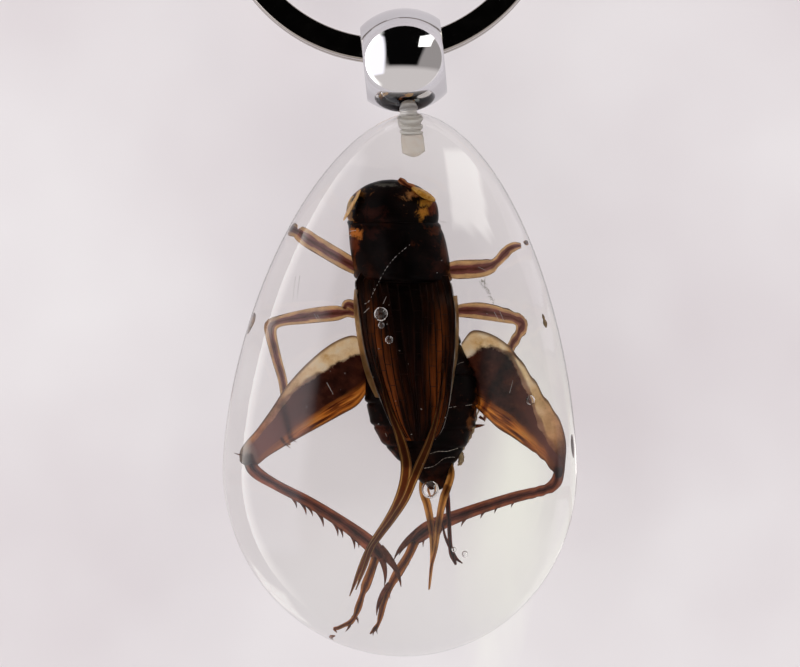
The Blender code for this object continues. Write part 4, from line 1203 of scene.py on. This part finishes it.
# Thin skin along the right side of the abdomen as places (x, y, radius)
SIDE_SKIN = [
    [(6.62, 8.3, 0.03), (6.82, 7.2, 0.09), (6.85, 6.3, 0.1), (6.7, 5.3, 0.06), (6.5, 4.4, 0.04)],
    [(6.55, 5.0, 0.03), (6.5, 4.3, 0.12), (6.2, 3.6, 0.16), (5.95, 3.0, 0.14), (5.7, 2.5, 0.04)],
    [(6.0, 3.3, 0.03), (5.75, 2.7, 0.1), (5.45, 2.1, 0.12), (5.2, 1.7, 0.03)],
    [(5.35, 2.1, 0.06), (5.42, 1.6, 0.2), (5.4, 1.1, 0.22), (5.25, 0.7, 0.1)],
]


def trunk(name, stations, steps, patches, shaping, material):
    """Lofts a part of the trunk, with its patches stored as colours."""
    shape = Shape()
    rings = []
    for y, x, half_width, half_height in smoothed(stations, steps):
        ring = []
        for i in range(TRUNK_SIDES):
            angle = 2 * pi * i / TRUNK_SIDES
            grow = shaping(y, angle)
            px = x + half_width * grow * cos(angle)
            place = seen(px, y, BODY_Z + half_height * grow * sin(angle))
            weight, colour = 0.0, (0.0, 0.0, 0.0)
            for cx, cy, wide, tall, tint in patches:
                near = exp(-((px - cx) / wide) ** 2 - ((y - cy) / tall) ** 2)
                if near > weight:
                    weight, colour = near, linear(tint)[:3]
            ring.append(shape.add(place, patch=(*colour, weight)))
        rings.append(ring)
    shape.loft(rings)
    return shape.object(name, material, sharp=radians(75))


def head_shape(y, angle):
    """Brow and cheeks: a faint swelling either side of the midline."""
    return 1 + 0.03 * cos(2 * angle) ** 2 * exp(-(y - 25.0) ** 2)


def pronotum_shape(y, angle):
    """Saddle of the neck shield, with rolled rims and two shallow dents."""
    rims = 0.03 * exp(-((y - 22.9) / 0.22) ** 2) + 0.03 * exp(-((y - 17.95) / 0.25) ** 2)
    dents = 0.03 * exp(-((y - 20.6) / 0.9) ** 2) * exp(-((abs(angle - pi / 2) - 0.5) / 0.2) ** 2)
    return 1 + rims - dents


def abdomen_shape(y, angle):
    """Rings of the abdomen, each a little fuller at its rear edge."""
    grow = 1.0
    for line in SEGMENT_LINES:
        grow -= 0.035 * exp(-((y - line) / 0.1) ** 2)
        grow += 0.02 * exp(-((y - line - 0.35) / 0.3) ** 2)
    return grow


class CRICKETDROP_OT_trunk(bpy.types.Operator):
    """Builds the cricket's head, neck shield, abdomen, eyes and feeler stub"""
    bl_idname = "cricketdrop.trunk"
    bl_label = "Cricket's trunk"

    def execute(self, context):
        colours = context.scene.cricketdrop_colours
        # hard shell, almost black, painted brown where it is thin, as if light came through it
        shell = cuticle("dark_cuticle", trunk_colour(colours), 0.35)
        head = trunk("cricket_head", HEAD, 44, HEAD_PATCHES, head_shape, shell)
        shield = trunk("cricket_pronotum", PRONOTUM, 60, PRONOTUM_PATCHES, pronotum_shape, shell)
        rear = trunk("cricket_abdomen", ABDOMEN, ABDOMEN_STEPS, ABDOMEN_PATCHES, abdomen_shape,
                     shell)
        placed(rear, "drop", "chitin", "cricket_body")
        for piece in (head, shield):
            placed(piece, "drop", "chitin")
        self.eyes()
        self.segment_edges()
        limb("feeler_stub", [FEELER], 14, 12, "chitin", cuticle(
            "feeler_cuticle", limb_colour("#B07048", "#7A3E22", "#3A1A10")))
        return {"FINISHED"}

    def segment_edges(self):
        """Seams of the abdomen's rings, painted bright as highlights, and the thin skin along its right
        side.
        """
        tree = tubes_tree()
        rows = smoothed(ABDOMEN, ABDOMEN_STEPS)

        def on_top(x, y):
            row = min(rows, key=lambda r: abs(r[0] - y))
            share = min(0.98, abs(x - row[1]) / row[2])
            return seen(x, y, BODY_Z + 1.03 * row[3] * sqrt(1 - share * share))

        lines = []
        for seam in RING_SEAMS:
            path = smoothed([(x, y) for x, y in seam], 6 * len(seam))
            lines.append([(on_top(x, y), 0.000022 + 0.000012 * sin(k * 1.9))
                          for k, (x, y) in enumerate(path)])
        # the seams are painted pale as highlights
        rims = cuticle("painted_seam_highlight", plain_mottle("#8A8078", "#E2DACE", 1200.0),
                       roughness=0.4)
        placed(threads("abdomen_ring_edges", lines, rims, tree, sides=6), "drop", "chitin")
        skins = []
        for skin in SIDE_SKIN:
            path = smoothed(skin, 24)
            skins.append([(seen(x + 0.05 * sin(k * 1.3), y, BODY_Z), max(size, THINNEST) * MM)
                          for k, (x, y, size) in enumerate(path)])
        thin = cuticle("side_membrane", plain_mottle("#6A4320", "#E0CDA4", 1500.0),
                       roughness=0.45, see_through=0.6)
        placed(threads("abdomen_fringe", skins, thin, tree, sides=10), "drop", "chitin")

    def eyes(self):
        """Two long compound eyes on the sides of the head."""
        material = cuticle("eye_lens", plain_mottle("#C07A18", "#F4C468", 2600.0),
                           roughness=0.25)
        for name, x, y, z, long, wide, way in EYES:
            shape = Shape()
            place = Matrix.Translation(seen(x, y, z)) @ Matrix.Rotation(radians(way), 4, "Z")
            rings = []
            for k in range(1, EYE_STEPS):
                tilt = pi * k / EYE_STEPS
                rings.append([shape.add(place @ Vector((
                    -long * MM * cos(tilt), wide * MM * sin(tilt) * cos(2 * pi * i / EYE_SIDES),
                    EYE_DEPTH * MM * sin(tilt) * sin(2 * pi * i / EYE_SIDES))))
                    for i in range(EYE_SIDES)])
            shape.loft(rings)
            placed(shape.object(name, material), "drop", "chitin")


WING_ALONG = 70
WING_ACROSS = 22
CASE_FACES = (0.3, 0.12)    # heights of a wing case's two faces over the wing's own curve
VEIN_ALONG = 60
VEIN_SHARES = (0.1, 0.3, 0.45, 0.6, 0.72, 0.86, 0.98)
CROSS_VEIN_STEP = 7
FIELD_ALONG = 40
FIELD_ACROSS = 8
TAIL_ALONG = 120
TAIL_SIDES = 20


def wing_point(row, share, sign, lift):
    """Place on a wing case, from its seam on the midline (0) to its outer edge (1)."""
    y, left, right, height = row
    middle, half = (left + right) / 2, (right - left) / 2
    x = middle + sign * (0.02 + (half - 0.02) * share)
    return x, y, height - WING_DROOP * share ** 2 + lift + 0.12 * sin(share * pi)


class CRICKETDROP_OT_wings(bpy.types.Operator):
    """Builds the two wing cases with their veins, side fields and the folded hind wings"""
    bl_idname = "cricketdrop.wings"
    bl_label = "Wings"

    def execute(self, context):
        # leathery wing: dark brown fibres lengthwise, amber where it is one layer thick, painted as light
        # coming through
        colours = context.scene.cricketdrop_colours
        leather = cuticle("wing_case_leather", wing_colour(colours), roughness=0.3, grain=1600.0)
        vein = cuticle("wing_vein", plain_mottle("#0A0403", "#2A120A", 1500.0), roughness=0.3)
        pale = cuticle("side_field_membrane", plain_mottle("#A87C48", "#E2BE88", 900.0),
                       roughness=0.45, see_through=0.8)
        folded = cuticle("folded_wing_membrane", membrane_colour("#F6BE68", "#72381A"),
                         roughness=0.45, see_through=0.7)
        tree = tubes_tree()
        for side, sign in (("left", -1), ("right", 1)):
            self.case(side, sign, leather)
            self.veins(side, sign, vein, tree)
            self.side_field(side, pale)
            self.tail(side, folded)
        return {"FINISHED"}

    def case(self, side, sign, material):
        """Wing case of two faces that meet round its edge."""
        rows = smoothed(WING_CASES, WING_ALONG)
        shape = Shape()
        rings = []
        for row in rows:
            ring = []
            for lift, order in zip(CASE_FACES, (range(WING_ACROSS + 1),
                                                range(WING_ACROSS, -1, -1))):
                for k in order:
                    share = k / WING_ACROSS
                    x, y, z = wing_point(row, share, sign, lift)
                    ring.append(shape.add(seen(x, y, z), across=share, along=18 - y))
            rings.append(ring)
        shape.loft(rings)
        placed(shape.object("wing_case_" + side, material), "drop", "wing", "forewing_" + side)

    def veins(self, side, sign, material, tree):
        """Long veins down the wing case and short cross veins between them."""
        rows = smoothed(WING_CASES, VEIN_ALONG)
        top = CASE_FACES[0]
        paths = []
        for number, share in enumerate(VEIN_SHARES):
            # the outermost vein is the wing's thick straight edge
            inner = share < 0.9
            path = []
            for k in range(2, VEIN_ALONG - 1):
                drift = 0.03 * sin(k * 0.11 + number) * inner
                path.append((seen(*wing_point(rows[k], share + drift, sign, top)),
                             0.00005 if inner else 0.00008))
            paths.append(path)
        for number, (low, high) in enumerate(zip(VEIN_SHARES, VEIN_SHARES[1:])):
            for k in range(6 + number * 2, VEIN_ALONG - 6, CROSS_VEIN_STEP):
                paths.append([(seen(*wing_point(rows[k], low + (high - low) * t / 4, sign, top)),
                               0.000025) for t in range(5)])
        placed(threads("wing_veins_" + side, paths, material, tree, sides=8), "drop", "wing")
        # a film of air along the wing's outer edge shows as a silvery line
        line = [(seen(*wing_point(rows[k], 1.01, sign, 0.16 + 0.02 * sin(k * 0.8))),
                 0.00003 + 0.000012 * sin(k * 0.5)) for k in range(3, VEIN_ALONG - 2)]
        silver = cuticle("silvery_wing_edge", plain_mottle("#6E6258", "#D8D0C8", 1100.0),
                         roughness=0.35)
        placed(threads("wing_edge_" + side, [line], silver, tree, sides=6), "drop", "wing")

    def side_field(self, side, material):
        """Thin pale membrane that hangs down beside the wing case."""
        shape = Shape()
        rings = []
        for y, inner, outer in smoothed(WING_FLAP[side], FIELD_ALONG):
            ring = []
            for lift, order in ((0.04, range(FIELD_ACROSS + 1)),
                                (-0.04, range(FIELD_ACROSS, -1, -1))):
                for k in order:
                    share = k / FIELD_ACROSS
                    x = inner + (outer - inner) * share
                    ring.append(shape.add(seen(x, y, 7.9 - 1.1 * share ** 1.5 + lift),
                                          across=share, along=18 - y))
            rings.append(ring)
        shape.loft(rings)
        placed(shape.object("side_field_" + side, material), "drop", "wing")

    def tail(self, side, material):
        """Rolled tail of a hind wing, a flat strip with a raised core."""
        shape = Shape()
        path = smoothed(HIND_WING[side], TAIL_ALONG)
        rings = []
        for k, (x, y, half) in enumerate(path):
            before, after = path[max(k - 1, 0)], path[min(k + 1, TAIL_ALONG)]
            way = Vector((after[0] - before[0], after[1] - before[1])).normalized()
            high, low = HIND_WING_Z[side]
            height = low + (high - low) * min(1.0, max(0.0, (y - 1.0) / 3.0))
            ring = []
            for i in range(TAIL_SIDES):
                angle = 2 * pi * i / TAIL_SIDES
                across = cos(angle)
                up = sin(angle) * (0.08 + 0.16 * (1 - across * across)) * min(1, half / 0.3)
                ring.append(shape.add(
                    seen(x - way.y * across * half, y + way.x * across * half, height + up),
                    across=across, along=float(k)))
            rings.append(ring)
        shape.loft(rings)
        placed(shape.object("hind_wing_tail_" + side, material), "drop", "wing",
               "hind_wing_" + side)


THIGH_STEPS = 90
THIGH_SIDES = 40
# share of the thigh's length where the dark knee sets in, and over which it grows
KNEE_START = {"left": 0.84, "right": 0.71}
KNEE_GROWTH = {"left": 0.1, "right": 0.15}
KNEE_DARK = 0.85
PALE_TIP_X = -14.0


class CRICKETDROP_OT_legs(bpy.types.Operator):
    """Builds all six legs, with the spines, spurs and claws of the hind pair"""
    bl_idname = "cricketdrop.legs"
    bl_label = "Legs"

    def execute(self, context):
        # thin shell over dried flesh: pale where light passes, brown to black where it can't
        colours = context.scene.cricketdrop_colours
        thigh = cuticle("thigh_cuticle", thigh_colour(colours), roughness=0.34, grain=1800.0,
                        see_through=0.84)
        shin = cuticle("shin_cuticle", limb_colour("#B26444", "#743828", "#381610"),
                       roughness=0.4, see_through=0.6)
        foot = cuticle("foot_cuticle", limb_colour("#C87E3E", "#84421F", "#401C10"),
                       roughness=0.4, see_through=0.65)
        thin = cuticle("leg_cuticle", limb_colour("#F0C48A", "#90564E", "#5A3022"),
                       roughness=0.4, see_through=0.75)
        spike = cuticle("spine_cuticle", plain_mottle("#4A1E14", "#925034", 1500.0),
                        roughness=0.35, see_through=0.4)
        tree = tubes_tree()
        for side in ("left", "right"):
            self.thigh(side, thigh)
            limb("hind_shin_" + side, [SHIN[side]], 70, 24, "leg", shin)
            limb("hind_foot_" + side, [FOOT[side]], 80, 20, "leg", foot)
            curl = Vector((0.2 if side == "left" else -0.2, 0.0, 0.0))
            spines = [hook(seen(a, b, SPIKE_Z[side]), seen(c, d, SPIKE_Z[side]), r * MM, curl)
                      for a, b, c, d, r in SPIKES[side]]
            spines += [hook(seen(a, b, THIGH_Z), seen(c, d, THIGH_Z), r * MM, -curl)
                       for a, b, c, d, r in SMALL_HOOKS[side]]
            placed(threads("leg_spines_" + side, spines, spike, tree, sides=10), "drop", "leg")
            limb("cricket_foreleg_" + side, [FORELEG[side]], 70, 24, "leg", thin,
                 "foreleg_" + side)
            self.midleg(side, thin)
        return {"FINISHED"}

    def midleg(self, side, material):
        """Middle leg; the left one's joint with the trunk shows too."""
        shape = Shape()
        tube(shape, MIDLEG[side], 70, 24)
        if side == "left":
            tube(shape, COXA, 30, 20)
        placed(shape.object("cricket_midleg_" + side, material), "drop", "leg", "midleg_" + side)

    def thigh(self, side, material):
        """Hind thigh, a flat drumstick whose numbers tell its material where each tone lies."""
        shape = Shape()
        rings = []
        travelled = 0.0
        path = smoothed(THIGH[side], THIGH_STEPS)
        last = None
        for k, (ux, uy, lx, ly, thick, band) in enumerate(path):
            upper, lower = seen(ux, uy, THIGH_Z), seen(lx, ly, THIGH_Z)
            middle, half = (upper + lower) / 2, (upper - lower) / 2
            if last is not None:
                travelled += (middle - last).length / MM
            last = middle
            knee = min(1.0, max(0.0, (k / THIGH_STEPS - KNEE_START[side]) / KNEE_GROWTH[side]))
            # the left knee's outer tip turns pale grey on its upper side, outward of x = -14 mm towards the
            # drop's left rim
            frost = min(1.0, max(0.0, (PALE_TIP_X - min(ux, lx)) / 0.5)) / 2 * (side == "left")
            ring = []
            for i in range(THIGH_SIDES):
                angle = 2 * pi * i / THIGH_SIDES
                share = (cos(angle) + 1) / 2
                ring.append(shape.add(
                    middle + half * cos(angle) + Vector((0, 0, thick * MM * sin(angle))),
                    band=share - band, low=share, along=travelled, rim=abs(cos(angle)),
                    knee=knee * KNEE_DARK, frost=frost * share))
            rings.append(ring)
        shape.loft(rings)
        placed(shape.object("hind_thigh_" + side, material), "drop", "leg", "hind_leg_" + side)


class CRICKETDROP_OT_tail(bpy.types.Operator):
    """Builds the two tail feelers and the forked dark limb between them"""
    bl_idname = "cricketdrop.tail"
    bl_label = "Tail feelers"

    def execute(self, context):
        # slim golden rods, clearer at their sides
        amber = cuticle("cercus_cuticle", limb_colour("#E0A258", "#B87A3A", "#6A3C1A"),
                        roughness=0.4, see_through=0.75)
        red = cuticle("dark_red_cuticle", limb_colour("#7A3A2E", "#481E18", "#260E0C"),
                      roughness=0.4, see_through=0.6)
        for side in ("left", "right"):
            limb("tail_feeler_" + side, [CERCUS[side]], 80, 18, "amber_chitin", amber,
                 "cercus_" + side)
        limb("forked_tail_limb", OVIPOSITOR, 50, 14, "leg", red, "ovipositor")
        return {"FINISHED"}


# Stage

FLOOR_Z = -0.00005
CAMERA_PLACE = (-0.00051, 0.01272)
CAMERA_TURN = radians(1.718)
FLOOR_RINGS = 40
FLOOR_SIDES = 96
RIM_START = 0.8             # share of the floor's radius where its rim starts to rise
RIM_LIFT = 0.3


class CRICKETDROP_OT_stage(bpy.types.Operator):
    """Builds the pale surface, the soft room light and the camera"""
    bl_idname = "cricketdrop.stage"
    bl_label = "Stage"

    def execute(self, context):
        sizes = context.scene.cricketdrop_stage
        self.floor(sizes)
        self.room(context.scene, sizes)
        data = bpy.data.cameras.new("camera")
        data.lens = sizes.focal_length
        data.sensor_width = 36
        data.clip_start = 0.01
        camera = bpy.data.objects.new("camera", data)
        context.scene.collection.objects.link(camera)
        camera.location = (*CAMERA_PLACE, sizes.camera_height)
        camera.rotation_euler = (0, 0, CAMERA_TURN)
        context.scene.camera = camera
        context.scene.view_settings.view_transform = "Standard"
        return {"FINISHED"}

    def floor(self, sizes):
        """Round pale sheet whose rim rises, so that low views end in it."""
        made, tree = new_material("matt_white_card")
        place = add_node(tree, "ShaderNodeTexCoord")
        cloud = add_node(tree, "ShaderNodeTexNoise", {"Vector": place.outputs["Object"], "Scale": 26.0,
            "Detail": 3.0})
        colour = add_node(tree, "ShaderNodeValToRGB", {"Fac": cloud}, stops=[(0.3, "#D6CDD1"),
            (0.7, "#EDE9EB")])
        # painted light: a pale streaky pool painted into the floor's glow below the drop's right side, where
        # the drop would gather light
        middle = add_node(tree, "ShaderNodeMapping", {"Vector": place.outputs["Object"],
            "Location": (-1.9, 0.1, 0.0), "Scale": (210.0, 52.0, 0.0)})
        reach = add_node(tree, "ShaderNodeVectorMath", {0: middle}, operation="LENGTH")
        streaks = add_node(tree, "ShaderNodeTexNoise", {"Vector": middle, "Scale": 1.6, "Detail": 3.0})
        frayed = add_node(tree, "ShaderNodeMath", {0: streaks, 1: 0.8, 2: reach},
            operation="MULTIPLY_ADD")
        painted_light_pool = add_node(tree, "ShaderNodeMapRange", {"Value": frayed, "From Min": 0.5, "From Max": 1.4,
            "To Min": 0.9, "To Max": 0.0})
        lit = add_node(tree, "ShaderNodeMix", {0: painted_light_pool, 6: colour, 7: linear("#FFFFF6")},
            data_type="RGBA")
        shader = add_node(tree, "ShaderNodeBsdfPrincipled", {"Base Color": linear("#8C8889"),
            "Roughness": 0.8, "Emission Color": lit, "Emission Strength": sizes.floor_glow})
        add_node(tree, "ShaderNodeOutputMaterial", {"Surface": shader})
        shape = Shape()
        rings = []
        for k in range(1, FLOOR_RINGS + 1):
            share = k / FLOOR_RINGS
            radius = sizes.floor_radius * share
            lift = RIM_LIFT * max(0.0, (share - RIM_START) / (1 - RIM_START)) ** 2
            rings.append([shape.add(Vector((radius * cos(2 * pi * i / FLOOR_SIDES),
                                            radius * sin(2 * pi * i / FLOOR_SIDES),
                                            FLOOR_Z + lift))) for i in range(FLOOR_SIDES)])
        for low, high in zip(rings, rings[1:]):
            for i in range(FLOOR_SIDES):
                j = (i + 1) % FLOOR_SIDES
                shape.faces.append((low[i], low[j], high[j], high[i]))
        centre = shape.add(Vector((0, 0, FLOOR_Z)))
        for i in range(FLOOR_SIDES):
            shape.faces.append((centre, rings[0][(i + 1) % FLOOR_SIDES], rings[0][i]))
        shape.object("pale_surface", made)

    def room(self, scene, sizes):
        """Pale room with a bright window to the left and a dark side above and beyond."""
        world = bpy.data.worlds.new("room")
        world.use_nodes = True
        tree = world.node_tree
        tree.nodes.clear()
        way = add_node(tree, "ShaderNodeTexCoord")
        parts = add_node(tree, "ShaderNodeSeparateXYZ", {"Vector": way.outputs["Generated"]})
        x, y, z = parts.outputs
        wide = add_node(tree, "ShaderNodeMath", {0: x}, operation="ABSOLUTE")
        spread = add_node(tree, "ShaderNodeMath", {0: y, 1: -0.25, 2: wide}, operation="MULTIPLY_ADD")
        inside = add_node(tree, "ShaderNodeMapRange", {"Value": spread, "From Min": 0.46,
            "From Max": 0.56, "To Min": 1.0, "To Max": 0.0})
        beyond = add_node(tree, "ShaderNodeMapRange", {"Value": y, "From Min": -0.3, "From Max": -0.2,
            "To Min": 0.0, "To Max": 1.0})
        above = add_node(tree, "ShaderNodeMapRange", {"Value": z, "From Min": 0.1, "From Max": 0.2,
            "To Min": 0.0, "To Max": 1.0})
        near = add_node(tree, "ShaderNodeMath", {0: inside, 1: beyond}, operation="MULTIPLY")
        dark = add_node(tree, "ShaderNodeMath", {0: near, 1: above}, operation="MULTIPLY")
        leftward = add_node(tree, "ShaderNodeMapRange", {"Value": x, "From Min": -0.6,
            "From Max": -0.52, "To Min": 1.0, "To Max": 0.0})
        height = add_node(tree, "ShaderNodeMath", {0: y, 1: 0.1}, operation="SUBTRACT")
        tall = add_node(tree, "ShaderNodeMath", {0: height}, operation="ABSOLUTE")
        panes = add_node(tree, "ShaderNodeMapRange", {"Value": tall, "From Min": 0.6, "From Max": 0.66,
            "To Min": 1.0, "To Max": 0.0})
        window = add_node(tree, "ShaderNodeMath", {0: leftward, 1: panes}, operation="MULTIPLY")
        # walls are dim overhead and paler to the right and at the round end
        rightward = add_node(tree, "ShaderNodeMapRange", {"Value": x, "From Min": 0.3, "From Max": 0.5,
            "To Min": 0.0, "To Max": 0.4})
        nearer = add_node(tree, "ShaderNodeMapRange", {"Value": y, "From Min": -0.15, "From Max": -0.4,
            "To Min": 0.0, "To Max": 1.0})
        paler = add_node(tree, "ShaderNodeMath", {0: rightward, 1: nearer}, operation="MAXIMUM")
        walls = add_node(tree, "ShaderNodeMix", {0: paler, 6: linear("#7E7874"),
            7: (1.1, 1.02, 0.98, 1.0)}, data_type="RGBA")
        shaded = add_node(tree, "ShaderNodeMix", {0: dark, 6: walls, 7: linear("#0B0A0A")},
            data_type="RGBA")
        lit = add_node(tree, "ShaderNodeMix", {0: window, 6: shaded, 7: (2.0, 1.95, 2.05, 1.0)},
            data_type="RGBA")
        # a bright band just over the horizon to both sides draws the drop's white rims, and it
        # is lower on the right, where the rim is finer
        lowered = add_node(tree, "ShaderNodeMath", {0: rightward, 1: 0.36, 2: z},
            operation="MULTIPLY_ADD")
        glow = add_node(tree, "ShaderNodeMapRange", {"Value": lowered, "From Min": 0.22,
            "From Max": 0.36, "To Min": 1.0, "To Max": 0.0})
        sides = add_node(tree, "ShaderNodeMapRange", {"Value": wide, "From Min": 0.5, "From Max": 0.85,
            "To Min": 0.0, "To Max": 4.4})
        band = add_node(tree, "ShaderNodeMath", {0: glow, 1: sides}, operation="MULTIPLY")
        # a small square lamp that the bead mirrors
        across = add_node(tree, "ShaderNodeMath", {0: x, 1: 0.58}, operation="SUBTRACT")
        up = add_node(tree, "ShaderNodeMath", {0: y, 1: 0.6}, operation="SUBTRACT")
        off_x = add_node(tree, "ShaderNodeMath", {0: across}, operation="ABSOLUTE")
        off_y = add_node(tree, "ShaderNodeMath", {0: up}, operation="ABSOLUTE")
        off = add_node(tree, "ShaderNodeMath", {0: off_x, 1: off_y}, operation="MAXIMUM")
        square = add_node(tree, "ShaderNodeMapRange", {"Value": off, "From Min": 0.13, "From Max": 0.17,
            "To Min": 5.0, "To Max": 0.0})
        overhead = add_node(tree, "ShaderNodeMath", {0: z, 1: 0.0}, operation="GREATER_THAN")
        lamp = add_node(tree, "ShaderNodeMath", {0: square, 1: overhead, 2: band},
            operation="MULTIPLY_ADD")
        glare = add_node(tree, "ShaderNodeMix", {0: 1.0, 6: (1.0, 1.0, 0.94, 1.0), 7: lamp},
            data_type="RGBA", blend_type="MULTIPLY")
        sky = add_node(tree, "ShaderNodeMix", {0: 1.0, 6: lit, 7: glare}, data_type="RGBA",
            blend_type="ADD")
        light = add_node(tree, "ShaderNodeBackground", {"Color": sky, "Strength": sizes.sky})
        add_node(tree, "ShaderNodeOutputWorld", {"Surface": light})
        scene.world = world


class CRICKETDROP_PT_panel(bpy.types.Panel):
    """Lists the builders of the resin drop"""
    bl_idname = "CRICKETDROP_PT_panel"
    bl_label = "Resin Drop"
    bl_space_type = "VIEW_3D"
    bl_region_type = "UI"
    bl_category = "Resin Drop"

    def draw(self, context):
        for group in GROUPS:
            values = getattr(context.scene, group)
            for name in values.bl_rna.properties.keys():
                if name not in ("rna_type", "name"):
                    self.layout.prop(values, name)
        for operator in OPERATORS:
            self.layout.operator(operator.bl_idname)


GROUPS = {
    "cricketdrop_resin": ResinSizes, "cricketdrop_metal": MetalSizes,
    "cricketdrop_colours": CricketColours, "cricketdrop_stage": StageSizes,
}
OPERATORS = (
    CRICKETDROP_OT_resin, CRICKETDROP_OT_marks, CRICKETDROP_OT_bead, CRICKETDROP_OT_pin,
    CRICKETDROP_OT_ring, CRICKETDROP_OT_trunk, CRICKETDROP_OT_wings, CRICKETDROP_OT_legs,
    CRICKETDROP_OT_tail, CRICKETDROP_OT_stage,
)


def register():
    for made in (*GROUPS.values(), *OPERATORS, CRICKETDROP_PT_panel):
        bpy.utils.register_class(made)
    for name, group in GROUPS.items():
        setattr(bpy.types.Scene, name, bpy.props.PointerProperty(type=group))


def unregister():
    for name in GROUPS:
        delattr(bpy.types.Scene, name)
    for made in (CRICKETDROP_PT_panel, *reversed(OPERATORS), *reversed(GROUPS.values())):
        bpy.utils.unregister_class(made)


def main():
    register()
    for operator in OPERATORS:
        group, name = operator.bl_idname.split(".")
        getattr(getattr(bpy.ops, group), name)()


if __name__ == "__main__":
    main()
